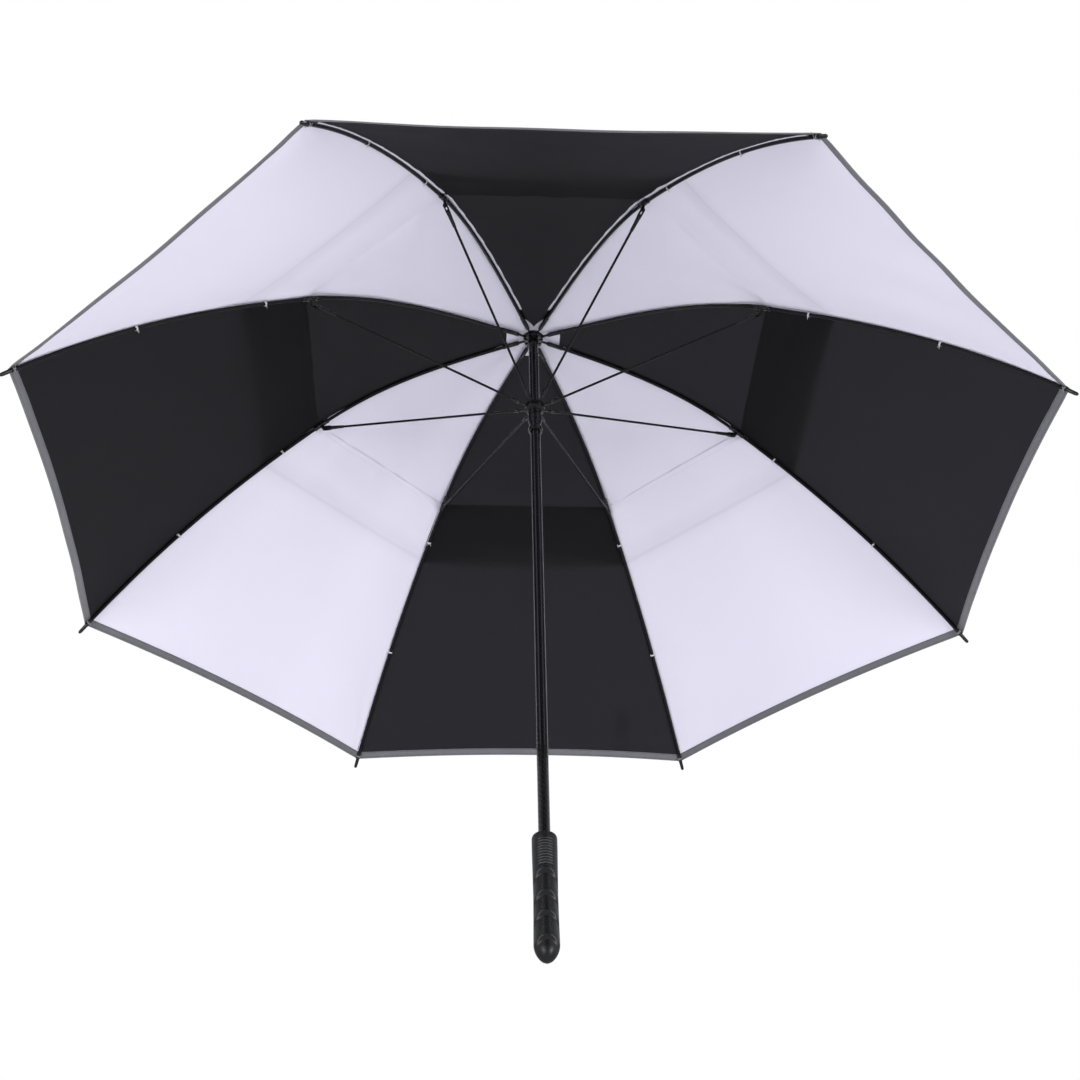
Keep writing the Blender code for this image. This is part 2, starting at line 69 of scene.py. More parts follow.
HALF = RIB_STEP / 2
SIDES = (1, -1)  # of a rib: towards the next rib, and towards the one before
UNDER_LEAN = math.radians(2.0)  # turns the folding cloth's two sides apart, so that they lap when closed


def joint_place(name):
    """Where a joint's axis crosses the plane of its rib, as (radius, z)."""
    x, y, z = next(j for j in frame["joints"] if j["name"] == name)["pos_m"]
    return math.hypot(x, y), z


# the linkage, open
HUB = joint_place("canopy_fold")
JOINT = joint_place("stretcher_pivot_1")
RUNNER = joint_place("runner_pivot")
FLEX = joint_place("rib_flex_1")
RIM = (0.660, 0.523)

# the rib's slopes below the horizontal, open
HUB_SLOPE = math.radians(1.3)
JOINT_SLOPE = math.radians(28.5)
RIM_SLOPE = math.radians(47)
HANDLE = 0.35  # a curve's handles, as a share of its chord
LUG_DROP = 0.009  # the stretcher's pin below the rib's centreline
CLAMP = (JOINT[0] + LUG_DROP * math.sin(JOINT_SLOPE), JOINT[1] + LUG_DROP * math.cos(JOINT_SLOPE))
CLAMP_HALF = math.dist(CLAMP, FLEX)

# rods
RIB_R = 0.0023
ROD_SIDES = 16

# cloth
CLOTH = 0.0003  # thickness
LOWER_START_R = 0.3245
UPPER_START_R = 0.0150
UPPER_END_R = 0.409
VENT_SHADOW = 0.0945  # along the lower canopy, from its inner edge to the upper one's hem, where its painted shadow lies
VENT_RISE = 0.055  # of the upper canopy's free edge, between its ribs
LINING_START_R = 0.0140
LINING_END_R = 0.0400
HEM_SCALLOP = 0.0060  # how far the hem curves in at a gore's middle, as radius
TAPE = 0.0100  # how far the binding reaches up from the hem


# ---------------------------------------------------------------- the ribs' curve


def bezier(start, start_slope, end, end_slope, count=160):
    """Points of a cubic curve with these slopes below the horizontal."""
    reach = HANDLE * math.dist(start, end)
    a = np.array(start) + reach * np.array((math.cos(start_slope), -math.sin(start_slope)))
    b = np.array(end) - reach * np.array((math.cos(end_slope), -math.sin(end_slope)))
    t = np.linspace(0, 1, count)[:, None]
    weights = ((1 - t) ** 3, 3 * t * (1 - t) ** 2, 3 * t * t * (1 - t), t**3)
    return sum(w * np.array(p) for w, p in zip(weights, (start, a, b, end)))


INNER = bezier(HUB, HUB_SLOPE, CLAMP, JOINT_SLOPE)
OUTER = bezier(CLAMP, JOINT_SLOPE, RIM, RIM_SLOPE)
CURVE = np.vstack([INNER, OUTER[1:]])
CURVE_SLOPE = -np.arctan2(np.gradient(CURVE[:, 1]), np.gradient(CURVE[:, 0]))
CURVE_LENGTH = np.concatenate([[0], np.cumsum(np.hypot(*np.diff(CURVE, axis=0).T))])


def height_at(radius):
    return np.interp(radius, CURVE[:, 0], CURVE[:, 1])


def slope_at(radius):
    return np.interp(radius, CURVE[:, 0], CURVE_SLOPE)


def length_at(radius):
    return np.interp(radius, CURVE[:, 0], CURVE_LENGTH)


def radius_at(length):
    """The radius this far along the rib, carried on straight past the rim."""
    past = np.maximum(length - CURVE_LENGTH[-1], 0) * math.cos(RIM_SLOPE)
    return np.interp(length, CURVE_LENGTH, CURVE[:, 0]) + past


def smooth(x):
    x = np.clip(x, 0, 1)
    return x * x * (3 - 2 * x)


def rib_angle(rib):
    return FIRST_RIB + (rib - 1) * RIB_STEP


def rib_axes(rib):
    """Unit vectors out from the shaft along a rib, and round towards the next rib."""
    a = rib_angle(rib)
    return Vector((math.cos(a), math.sin(a), 0)), Vector((-math.sin(a), math.cos(a), 0))


def in_rib(rib, radius, z, across=0.0):
    """A point given in the plane of a rib, in the row frame."""
    out, round_to = rib_axes(rib)
    return out * float(radius) + round_to * across + Vector((0, 0, float(z)))


def gore_of(rib, side):
    """The number of the gore on a side of a rib."""
    return rib if side > 0 else (rib - 2) % RIBS + 1


# ---------------------------------------------------------------- camera, light and floor


CAMERA_AT = Vector((-0.0962, -1.6422, -0.7864))
CAMERA_HEADING = math.radians(86.548)
CAMERA_ELEVATION = math.radians(37.721)
CAMERA_ROLL = math.radians(-1.346)
CAMERA_LENS = 55.046
CAMERA_SENSOR = 36.0


def build_camera():
    data = bpy.data.cameras.new("camera")
    data.lens = CAMERA_LENS
    data.sensor_width = CAMERA_SENSOR
    data.clip_start = 0.02
    camera = bpy.data.objects.new("camera", data)
    bpy.context.scene.collection.objects.link(camera)
    flat = Vector((math.cos(CAMERA_HEADING), math.sin(CAMERA_HEADING), 0))
    ahead = flat * math.cos(CAMERA_ELEVATION) + Vector((0, 0, math.sin(CAMERA_ELEVATION)))
    level = ahead.cross(Vector((0, 0, 1))).normalized()
    right = level * math.cos(CAMERA_ROLL) + level.cross(ahead) * math.sin(CAMERA_ROLL)
    up = right.cross(ahead)
    turn = Matrix((right, up, -ahead)).transposed().to_4x4()
    camera.matrix_world = Matrix.Translation(CAMERA_AT) @ turn
    bpy.context.scene.camera = camera


def area_light(name, place, target, size, power):
    data = bpy.data.lights.new(name, "AREA")
    data.shape = "DISK"
    data.size = size
    data.energy = power
    lamp = bpy.data.objects.new(name, data)
    lamp.location = place
    lamp.rotation_euler = (Vector(target) - Vector(place)).to_track_quat("-Z", "Y").to_euler()
    bpy.context.scene.collection.objects.link(lamp)


def add_node(tree, kind, inputs=None, **settings):
    """A new node. An input is a value, or the socket that feeds it."""
    node = tree.nodes.new("ShaderNode" + kind)
    for key, value in settings.items():
        setattr(node, key, value)
    for key, value in (inputs or {}).items():
        if isinstance(value, bpy.types.NodeSocket):
            tree.links.new(value, node.inputs[key])
        else:
            node.inputs[key].default_value = value
    return node


DARK_TOWARDS = (0.0, -0.79, 0.61)
DARK_FADE = {"From Min": 0.45, "From Max": 0.92, "To Min": 0.82, "To Max": 0.12}


def build_world():
    """A white surround that lights less from above the front, which keeps black pieces black."""
    world = bpy.data.worlds.new("surround")
    bpy.context.scene.world = world
    world.use_nodes = True
    tree = world.node_tree
    tree.nodes.clear()
    towards = add_node(tree, "TexCoord").outputs["Generated"]
    facing = add_node(tree, "VectorMath", {0: towards, 1: DARK_TOWARDS}, operation="DOT_PRODUCT")
    fading = {"Value": facing.outputs["Value"], **DARK_FADE}
    fade = add_node(tree, "MapRange", fading, interpolation_type="SMOOTHSTEP")
    lit = add_node(tree, "Background", {"Color": (0.93, 0.95, 1.0, 1), "Strength": fade.outputs[0]})
    seen = add_node(tree, "Background", {"Color": (1, 1, 1, 1)})
    camera_ray = add_node(tree, "LightPath").outputs["Is Camera Ray"]
    mix = add_node(tree, "MixShader", {0: camera_ray, 1: lit.outputs[0], 2: seen.outputs[0]})
    add_node(tree, "OutputWorld", {0: mix.outputs[0]})


def build_lamps():
    """Four soft lamps, and two strips for highlights on the shaft and the grip."""
    middle = (0, 0, 0.65)
    area_light("left_lamp", (-2.2, -2.6, -0.5), middle, 1.4, 62)
    area_light("right_lamp", (2.4, -2.2, -0.5), middle, 1.2, 62)
    area_light("left_strip", (-1.7, -2.3, 2.1), (0, 0, 0.3), 0.6, 6)
    area_light("right_strip", (2.0, -2.2, 2.1), (0, 0, 0.3), 0.6, 6)
    area_light("back_lamp", (0.2, 3.0, -0.6), middle, 1.8, 48)
    area_light("top_lamp", (1.6, 0.8, 2.8), middle, 2.4, 42)
    bpy.context.scene.view_settings.view_transform = "Standard"


FLOOR_Z = -3.1
FLOOR_HALF = 60.0


def build_floor():
    """A pale floor far below the umbrella, which is held in the air."""
    mesh = bpy.data.meshes.new("floor")
    signs = ((-1, -1), (1, -1), (1, 1), (-1, 1))
    mesh.from_pydata([(x * FLOOR_HALF, y * FLOOR_HALF, FLOOR_Z) for x, y in signs], [], [(0, 1, 2, 3)])
    floor = bpy.data.objects.new("floor", mesh)
    finish = bpy.data.materials.new("floor")
    finish.use_nodes = True
    shader = finish.node_tree.nodes["Principled BSDF"]
    shader.inputs["Base Color"].default_value = (0.88, 0.88, 0.88, 1)
    shader.inputs["Roughness"].default_value = 0.9
    mesh.materials.append(finish)
    bpy.context.scene.collection.objects.link(floor)


# ---------------------------------------------------------------- materials


class Finish:
    """A material on a Principled shader, with short calls that add its nodes."""

    def __init__(self, name, roughness, metallic=0.0, **constants):
        self.material = bpy.data.materials.new(name)
        self.material.use_nodes = True
        self.tree = self.material.node_tree
        self.shader = self.tree.nodes["Principled BSDF"]
        self.shader.inputs["Roughness"].default_value = roughness
        self.shader.inputs["Metallic"].default_value = metallic
        for socket, value in constants.items():
            self.shader.inputs[socket.replace("_", " ")].default_value = value

    def add(self, kind, inputs=None, **settings):
        return add_node(self.tree, kind, inputs, **settings)

    def maths(self, operation, a, b=0.0, c=0.0, clamp=False):
        node = self.add("Math", {0: a, 1: b, 2: c}, operation=operation, use_clamp=clamp)
        return node.outputs[0]

    def place(self, layer=None):
        """Metres over the surface from a UV layer, or in the row frame without one."""
        if layer:
            return self.add("UVMap", uv_map=layer).outputs["UV"]
        return self.add("TexCoord").outputs["Object"]

    def scaled(self, vector, scale):
        return self.add("Mapping", {"Vector": vector, "Scale": scale}).outputs[0]

    def noise(self, vector, scale, detail=3.0, roughness=0.55, stretch=(1, 1, 1)):
        inputs = {"Vector": self.scaled(vector, stretch), "Scale": scale}
        inputs |= {"Detail": detail, "Roughness": roughness}
        return self.add("TexNoise", inputs).outputs[0]

    def ramp(self, value, low, high):
        """The value between 0 and 1 mapped to low and high."""
        return self.add("MapRange", {"Value": value, "To Min": low, "To Max": high}).outputs[0]

    def mixed(self, factor, a, b):
        """Two colours mixed, each a socket or three numbers."""
        a, b = (c if isinstance(c, bpy.types.NodeSocket) else (*c, 1) for c in (a, b))
        return self.add("Mix", {0: factor, 6: a, 7: b}, data_type="RGBA").outputs[2]

    def colour(self, socket):
        self.tree.links.new(socket, self.shader.inputs["Base Color"])

    def rough(self, socket):
        self.tree.links.new(socket, self.shader.inputs["Roughness"])

    def bumps(self, *layers):
        """Each layer is (height, distance in metres, strength)."""
        normal = None
        for height, distance, strength in layers:
            inputs = {"Height": height, "Distance": distance, "Strength": strength}
            if normal:
                inputs["Normal"] = normal
            normal = self.add("Bump", inputs).outputs[0]
        self.tree.links.new(normal, self.shader.inputs["Normal"])
        return normal

    def blend_in(self, share, other):
        """Gives another shader a share of the surface."""
        end = self.tree.nodes["Material Output"].inputs[0]
        mix = self.add("MixShader", {0: share, 1: end.links[0].from_socket, 2: other.outputs[0]})
        self.tree.links.new(mix.outputs[0], end)

    def lets_through(self, share, colour, normal):
        """Some of the light behind shows through the cloth."""
        self.blend_in(share, self.add("BsdfTranslucent", {"Color": colour, "Normal": normal}))

    def sheer(self, share):
        """Some of the light passes straight between the threads."""
        self.blend_in(share, self.add("BsdfTransparent"))


STITCH_LENGTH = 0.0026
STITCH_HALF = 0.00028
THREAD_PITCH = 0.00042  # of two threads of the weave
HEM_STITCHES = (0.0075,)  # from the cloth's loose edge
SEAM_STITCHES = (0.0046,)  # from the rib's seam
HEM_SHADE = 0.8  # of the cloth's colour, in the painted shadow of the hem behind


def stitches(f, seam, along, across, lines):
    """1 on the stitches of some lines, each this far across from the cloth's edge."""
    step = f.maths("FRACT", f.maths("DIVIDE", seam.outputs[along], STITCH_LENGTH))
    dash = f.maths("LESS_THAN", step, 0.74)
    total = None
    for line in lines:
        off = f.maths("ABSOLUTE", f.maths("SUBTRACT", seam.outputs[across], line))
        here = f.maths("MULTIPLY", f.maths("LESS_THAN", off, STITCH_HALF), dash)
        total = here if total is None else f.maths("ADD", total, here)
    return total


def cloth_finish(name, warp, weft, thread, through, share, gloss, shadow=None):
    """Plain-woven polyester: fine weave, slubs, faint creases and stitched seams.

    warp, weft and thread are colours, and through is the colour of the share of the light that
    passes. shadow is how far from the loose edge lies the painted shadow of the hem of the canopy
    behind: a darker line and a wide soft painted shade round it.
    """
    f = Finish(name, 0.62, Specular_IOR_Level=gloss)
    grain = f.place("grain")
    parts = f.add("SeparateXYZ", {0: grain})
    turns = 2 * math.pi / THREAD_PITCH
    across = f.maths("SINE", f.maths("MULTIPLY", parts.outputs[0], turns))
    along = f.maths("SINE", f.maths("MULTIPLY", parts.outputs[1], turns))
    weave = f.ramp(f.maths("MULTIPLY", across, along), 0.35, 0.65)
    slubs = f.noise(grain, 900, 2, stretch=(1, 0.02, 1))
    picks = f.noise(grain, 900, 2, stretch=(0.02, 1, 1))
    threads = f.maths("ADD", f.maths("MULTIPLY", slubs, 0.5), f.maths("MULTIPLY", picks, 0.5))
    mottle = f.noise(grain, 9, 3)
    creases = f.noise(grain, 26, 4, 0.6)
    shade = f.maths("ADD", f.maths("MULTIPLY", threads, 0.6), f.maths("MULTIPLY", mottle, 0.4))
    woven = f.mixed(shade, warp, weft)
    seam = f.add("SeparateXYZ", {0: f.place("seam")})
    # painted shadow of the upper canopy's hem: the cloth's colour darkened in a thin line and a wide soft
    # band
    if shadow:
        wandering = f.maths("ADD", seam.outputs[1], f.ramp(f.noise(grain, 14, 2), -0.010, 0.010))
        for place, middle, half, dark in (  # painted shadow: the hem's darker line, and the wide soft painted shade round it
            (seam.outputs[1], shadow, 0.0045, 0.42),
            (wandering, shadow - 0.006, 0.026, 0.30),
        ):
            off = f.maths("ABSOLUTE", f.maths("SUBTRACT", place, middle))
            near = f.maths("SUBTRACT", 1.0, f.maths("DIVIDE", off, half), clamp=True)
            woven = f.mixed(f.maths("MULTIPLY", near, dark), woven, tuple(HEM_SHADE * c for c in warp))
    beside_rib = stitches(f, seam, 1, 0, SEAM_STITCHES)
    sewn = f.maths("ADD", beside_rib, stitches(f, seam, 0, 1, HEM_STITCHES), clamp=True)
    f.colour(f.mixed(sewn, woven, thread))
    f.rough(f.ramp(creases, 0.54, 0.72))
    normal = f.bumps(
        (creases, 0.0006, 0.22),
        (threads, 0.00006, 0.35),
        (weave, 0.00004, 0.35),
        (sewn, 0.00025, 0.8),
    )
    f.lets_through(share, (*through, 1), normal)
    return f.material


def tape_finish():
    """Grey reflective binding: fine glass beads and two lines of stitches."""
    f = Finish("hem_tape", 0.5, Specular_IOR_Level=0.3)
    place = f.place("seam")
    seam = f.add("SeparateXYZ", {0: place})
    beads = f.add("TexVoronoi", {"Vector": place, "Scale": 2600.0}).outputs["Distance"]
    wear = f.noise(place, 40, 4)
    body = f.mixed(wear, (0.118, 0.118, 0.128), (0.165, 0.165, 0.180))
    sewn = stitches(f, seam, 0, 1, (0.0016, 0.0086))
    f.colour(f.mixed(sewn, body, (0.07, 0.07, 0.076)))
    f.rough(f.ramp(wear, 0.38, 0.58))
    ribbed = f.maths("SINE", f.maths("MULTIPLY", seam.outputs[0], 2 * math.pi / 0.0009))
    f.bumps((beads, 0.00005, 0.5), (ribbed, 0.00005, 0.4), (sewn, 0.0003, 0.9))
    return f.material


def rod_finish():
    """Pultruded fibreglass: glossy black with fine streaks along the rod."""
    f = Finish("fibreglass", 0.3, Specular_IOR_Level=0.14, Coat_Weight=0.06, Coat_Roughness=0.1)
    place = f.place("run")
    streaks = f.noise(place, 1400, 3, stretch=(0.02, 1, 1))
    scuffs = f.noise(place, 60, 5, 0.7)
    f.colour(f.mixed(streaks, (0.003, 0.003, 0.0035), (0.008, 0.008, 0.009)))
    f.rough(f.ramp(scuffs, 0.22, 0.44))
    f.bumps((streaks, 0.00008, 0.4))
    return f.material


STRANDS = 6
STRAND_PITCH = 0.0066  # up the shaft, from one strand to the next


def shaft_finish():
    """A wrapped and lacquered fibreglass tube: strands wound round it show under the gloss."""
    f = Finish("wound_fibreglass", 0.2, Specular_IOR_Level=0.1, Coat_Weight=0.7, Coat_Roughness=0.05)
    place = f.place()
    parts = f.add("SeparateXYZ", {0: place})
    turn = f.maths("ARCTAN2", parts.outputs[1], parts.outputs[0])
    climb = f.maths("MULTIPLY", parts.outputs[2], math.pi / STRAND_PITCH)
    wound = f.maths("ADD", f.maths("MULTIPLY", turn, STRANDS / 2), climb)
    strand = f.maths("ABSOLUTE", f.maths("SINE", wound))
    streaks = f.noise(place, 900, 3, stretch=(1, 1, 0.08))
    lustre = f.maths("MULTIPLY", strand, streaks)
    f.colour(f.mixed(lustre, (0.001, 0.001, 0.0013), (0.010, 0.010, 0.0115)))
    f.rough(f.ramp(streaks, 0.14, 0.28))
    f.bumps((strand, 0.0005, 0.8), (streaks, 0.00005, 0.3))
    return f.material


def plastic_finish(name, low, high, smoothest, roughest):
    """Moulded nylon: a fine spark texture, flow marks and light scuffs."""
    f = Finish(name, roughest, Specular_IOR_Level=0.3)
    place = f.place()
    spark = f.noise(place, 2200, 2)
    flow = f.noise(place, 140, 5, 0.65)
    f.colour(f.mixed(flow, low, high))
    f.rough(f.ramp(flow, smoothest, roughest))
    f.bumps((spark, 0.00006, 0.35), (flow, 0.0002, 0.2))
    return f.material


def grip_finish():
    """Soft matte rubber: tiny pebbles, dust in them and smoother worn places, with a painted highlight on the
    thumb ridges' tops.
    """
    f = Finish("soft_grip", 0.5, Specular_IOR_Level=0.34)
    place = f.place()
    ridge = f.add("SeparateXYZ", {0: f.place("ridge")}).outputs[0]
    cells = {"Vector": place, "Scale": 1500.0, "Smoothness": 0.6}
    pebbles = f.add("TexVoronoi", cells, feature="SMOOTH_F1").outputs["Distance"]
    wear = f.noise(place, 55, 5, 0.7)
    dust = f.maths("MULTIPLY", pebbles, wear)
    body = f.mixed(dust, (0.0022, 0.0022, 0.0024), (0.009, 0.009, 0.0098))
    # painted highlight: the thumb ridges' tops are much lighter, so the grooves between them look shaded
    f.colour(f.mixed(ridge, body, (0.060, 0.060, 0.064)))
    f.rough(f.ramp(wear, 0.34, 0.50))
    f.bumps((pebbles, 0.00006, 0.3), (wear, 0.0003, 0.12))
    return f.material


def steel_finish():
    """Plated spring steel with drawing marks."""
    f = Finish("spring_steel", 0.3, 1.0)
    place = f.place()
    drawn = f.noise(place, 1600, 3, stretch=(1, 1, 0.05))
    f.colour(f.mixed(drawn, (0.50, 0.50, 0.52), (0.66, 0.66, 0.68)))
    f.rough(f.ramp(drawn, 0.22, 0.42))
    f.bumps((drawn, 0.00004, 0.4))
    return f.material


def thread_finish(name, low, high):
    """Twisted sewing thread."""
    f = Finish(name, 0.75, Sheen_Weight=0.3)
    place = f.place("run")
    parts = f.add("SeparateXYZ", {0: place})
    along = f.maths("MULTIPLY", parts.outputs[0], 9000)
    ply = f.maths("SINE", f.maths("ADD", along, f.maths("MULTIPLY", parts.outputs[1], 6000)))
    fuzz = f.noise(place, 3000, 2)
    f.colour(f.mixed(f.maths("MULTIPLY", ply, fuzz), low, high))
    f.bumps((ply, 0.00012, 0.6), (fuzz, 0.0001, 0.4))
    return f.material


def webbing_finish():
    """A thin woven nylon strap, sheer enough that it hardly shades the cloth under it."""
    f = Finish("strap_webbing", 0.8, Sheen_Weight=0.25)
    place = f.place("grain")
    parts = f.add("SeparateXYZ", {0: place})
    ribs = f.maths("SINE", f.maths("MULTIPLY", parts.outputs[1], 2 * math.pi / 0.0011))
    cords = f.maths("SINE", f.maths("MULTIPLY", parts.outputs[0], 2 * math.pi / 0.0016))
    weave = f.maths("MULTIPLY", ribs, cords)
    fuzz = f.noise(place, 1500, 3)
    f.colour(f.mixed(fuzz, (0.012, 0.012, 0.013), (0.034, 0.034, 0.037)))
    normal = f.bumps((weave, 0.00022, 0.6), (fuzz, 0.0001, 0.4))
    f.lets_through(0.6, (0.8, 0.8, 0.8, 1), normal)
    f.sheer(0.8)
    return f.material


# ---------------------------------------------------------------- mesh tools


def mesh_object(name, points, faces, finish, layers):
    """An object of these points and faces. layers maps a UV layer to a (u, v) for each point."""
    mesh = bpy.data.meshes.new(name)
    mesh.from_pydata([tuple(p) for p in points], [], faces)
    mesh.materials.append(finish)
    corner = np.zeros(len(mesh.loops), np.int32)
    mesh.loops.foreach_get("vertex_index", corner)
    for layer, values in layers.items():
        made = mesh.uv_layers.new(name=layer)
        made.data.foreach_set("uv", np.asarray(values, np.float32)[corner].ravel())
    mesh.shade_smooth()
    made = bpy.data.objects.new(name, mesh)
    bpy.context.scene.collection.objects.link(made)
    return made


def grid_faces(rows, columns, flip=False):
    """Quads of a grid of points stored row by row."""
    faces = []
    for i in range(rows - 1):
        for j in range(columns - 1):
            a = i * columns + j
            face = (a, a + 1, a + columns + 1, a + columns)
            faces.append(face[::-1] if flip else face)
    return faces


def ring_faces(rings, around):
    """Quads between closed rings of points stored one after another."""
    faces = []
    for i in range(rings - 1):
        for n in range(around):
            m = (n + 1) % around
            faces.append((i * around + n, i * around + m, (i + 1) * around + m, (i + 1) * around + n))
    return faces


def sharpen_edge(mesh, rows, columns):
    """Marks the border of a grid sharp, so that a thickness added to it doesn't round its shading."""
    pairs = np.zeros(len(mesh.edges) * 2, np.int32)
    mesh.edges.foreach_get("vertices", pairs)
    row, column = np.divmod(pairs.reshape(-1, 2), columns)
    border = np.zeros(len(mesh.edges), bool)
    for line, last in ((row, rows - 1), (column, columns - 1)):
        border |= (line == 0).all(axis=1) | (line == last).all(axis=1)
    mesh.attributes.new("sharp_edge", "BOOLEAN", "EDGE").data.foreach_set("value", border)


def solidify(made, thickness, offset=1.0):
    modifier = made.modifiers.new("thickness", "SOLIDIFY")
    modifier.thickness = thickness
    modifier.offset = offset
    modifier.use_rim = True


def swept(path, radii, sides=ROD_SIDES, flat=(1.0, 1.0), up=Vector((0, 0, 1))):
    """Points, faces and UVs in metres of a tube along a path, closed at both ends."""
    points, run = [], []
    total = 0.0
    for i, (centre, radius) in enumerate(zip(path, radii)):
        before = path[max(i - 1, 0)]
        after = path[min(i + 1, len(path) - 1)]
        along = (after - before).normalized()
        side = along.cross(up)
        if side.length < 1e-6:
            side = along.cross(Vector((1, 0, 0)))
        side.normalize()
        lift = side.cross(along)
        if i:
            total += (centre - path[i - 1]).length
        for n in range(sides):
            angle = 2 * math.pi * n / sides
            out = side * math.cos(angle) * flat[0] + lift * math.sin(angle) * flat[1]
            points.append(centre + out * radius)
            run.append((total, angle * radius))
    faces = ring_faces(len(path), sides)
    faces.append(tuple(range(sides))[::-1])
    last = (len(path) - 1) * sides
    faces.append(tuple(last + n for n in range(sides)))
    return points, faces, run


def profiled(place, profile, sides=ROD_SIDES, flat=(1.0, 1.0)):
    """A tube from (distance, radius) pairs, where place gives the point at a distance."""
    return swept([place(d) for d, _ in profile], [r for _, r in profile], sides, flat)


def joined_parts(parts):
    """Several (points, faces, run) as one."""
    points, faces, run = [], [], []
    for more, new_faces, more_run in parts:
        start = len(points)
        points += more
        run += more_run
        faces += [tuple(start + n for n in face) for face in new_faces]
    return points, faces, run


def tube_object(name, parts, finish):
    points, faces, run = joined_parts(parts)
    made = mesh_object(name, points, faces, finish, {"run": run})
    made.data.set_sharp_from_angle(angle=math.radians(48))
    return made


def settle(made, body, slot, node=None):
    """Attaches a piece to the body it rides on and hides the CAD node it replaces. slot is not used."""
    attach(made, body)
    if node:
        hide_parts(node)


# ---------------------------------------------------------------- the canopy


def wrinkles(gore, across, along, edge, tip, slack):
    """Height of the cloth's small folds, in metres.

    across is the distance from the gore's middle and along the distance down it. edge is the
    distance from the rib's seam, tip from the rib's end and slack from the loose edge.
    """
    random = np.random.default_rng(40 + gore)
    height = np.zeros_like(across)
    for _ in range(7):  # slow waves over the whole gore
        wave = random.uniform(0.09, 0.22)
        heading = random.uniform(0, math.pi)
        phase = random.uniform(0, 2 * math.pi)
        reach = across * math.cos(heading) + along * math.sin(heading)
        height += 0.00028 * np.sin(2 * math.pi * reach / wave + phase)
    puckers = np.zeros_like(across)
    for _ in range(8):  # puckers where the seam gathers the cloth
        wave = random.uniform(0.008, 0.021)
        phase = random.uniform(0, 2 * math.pi)
        puckers += np.sin(2 * math.pi * (along + 0.25 * edge) / wave + phase)
    height += 0.00013 * puckers * np.exp(-edge / 0.016)
    fan = np.arctan2(edge, np.maximum(tip, 1e-4))
    spread = np.hypot(edge, tip)
    rays = np.sin(fan * 19 + random.uniform(0, 6)) + 0.6 * np.sin(fan * 31 + random.uniform(0, 6))
    height += 0.0007 * rays * np.exp(-spread / 0.075) * smooth((spread - 0.018) / 0.04)
    ripple = np.zeros_like(across)
    for _ in range(5):  # the loose edge
        wave = random.uniform(0.035, 0.085)
        phase = random.uniform(0, 2 * math.pi)
        ripple += np.sin(2 * math.pi * (across + 0.35 * slack) / wave + phase)
    height += 0.00030 * ripple * np.exp(-slack / 0.035)
    for _ in range(3):  # soft pleats from one joint towards the other
        middle = random.uniform(0.02, 0.11)
        slant = random.uniform(-0.22, 0.22)
        wide = random.uniform(0.011, 0.020)
        line = (slack - middle - slant * across) / wide
        height += random.uniform(0.0005, 0.0010) * np.exp(-(line**2))
    return height * smooth(edge / 0.008)


def bowed(u):
    """0 on a rib and 1 in the middle of a gore, flat there."""
    return 1 - (1 - u) ** 2


def canopy_points(rib, side, u, radius, up):
    """Points of half a gore, for arrays.

    u is 0 on the rib and 1 in the gore's middle. radius is where the straight line across the
    gore leaves the rib, and up is the height above the ribs' centrelines.
    """
    slope = slope_at(radius)
    leaning = np.arctan(np.tan(slope) / math.cos(HALF))
    x = radius * math.cos(HALF)
    y = -side * radius * math.sin(HALF) * (1 - u)
    past_rim = np.maximum(radius - RIM[0], 0) * math.tan(RIM_SLOPE)
    z = height_at(np.minimum(radius, RIM[0])) - past_rim
    on_rib = np.stack([np.sin(slope) * math.cos(HALF), -side * np.sin(slope) * math.sin(HALF), np.cos(slope)])
    on_gore = np.stack([np.sin(leaning), np.zeros_like(x), np.cos(leaning)])
    share = smooth(u / 0.07)
    normal = on_rib * (1 - share) + on_gore * share
    normal /= np.linalg.norm(normal, axis=0)
    flat = np.stack([x, y, z]) + normal * up
    turn = rib_angle(rib) + side * HALF
    c, s = math.cos(turn), math.sin(turn)
    return np.stack([flat[0] * c - flat[1] * s, flat[0] * s + flat[1] * c, flat[2]], axis=-1)


def lower_up(u, radius):
    """Height of the lower canopy: on the rib's back, over the clamp, and sagging in its gore."""
    share = (radius - LOWER_START_R) / (RIM[0] - LOWER_START_R)
    rest = 0.0029 + 0.0010 * (1 - smooth((radius - FLEX[0]) / 0.03))
    sag = 0.0085 * np.sin(math.pi * np.clip(share, 0, 1)) + 0.0017 * np.clip(share, 0, 1) ** 2
    return rest - sag * bowed(u)


UPPER_SAG = (  # (radius, how far the upper canopy sags in a gore's middle)
    (0.0, 0.0),
    (0.05, 0.0008),
    (0.13, 0.004),
    (0.20, 0.005),
    (0.27, 0.0035),
    (0.33, -0.0005),
    (0.37, -0.0035),
    (0.409, -0.0065),
)


def upper_up(u, radius):
    """Height of the upper canopy: over the lower one past the clamps, and standing off at its edge."""
    rest = 0.0031 + 0.0016 * (1 - smooth((radius - 0.030) / 0.04)) + 0.0019 * smooth((radius - 0.27) / 0.04)
    sag = np.interp(radius, *zip(*UPPER_SAG))
    return rest - sag * bowed(u)


def lining_up(u, radius):
    """Height of the disc between the ribs and the canopy, the same for every u."""
    return np.full_like(radius, 0.0038)


# the values of u at a panel's columns of points, closer together near the rib
NEAR_RIB = [0, 0.008, 0.018, 0.03, 0.045, 0.065, 0.09, 0.12, 0.16, 0.21, 0.27, 0.34]
COLUMNS = np.array(NEAR_RIB + [0.42, 0.5, 0.58, 0.66, 0.74, 0.82, 0.9, 0.96, 1.0])


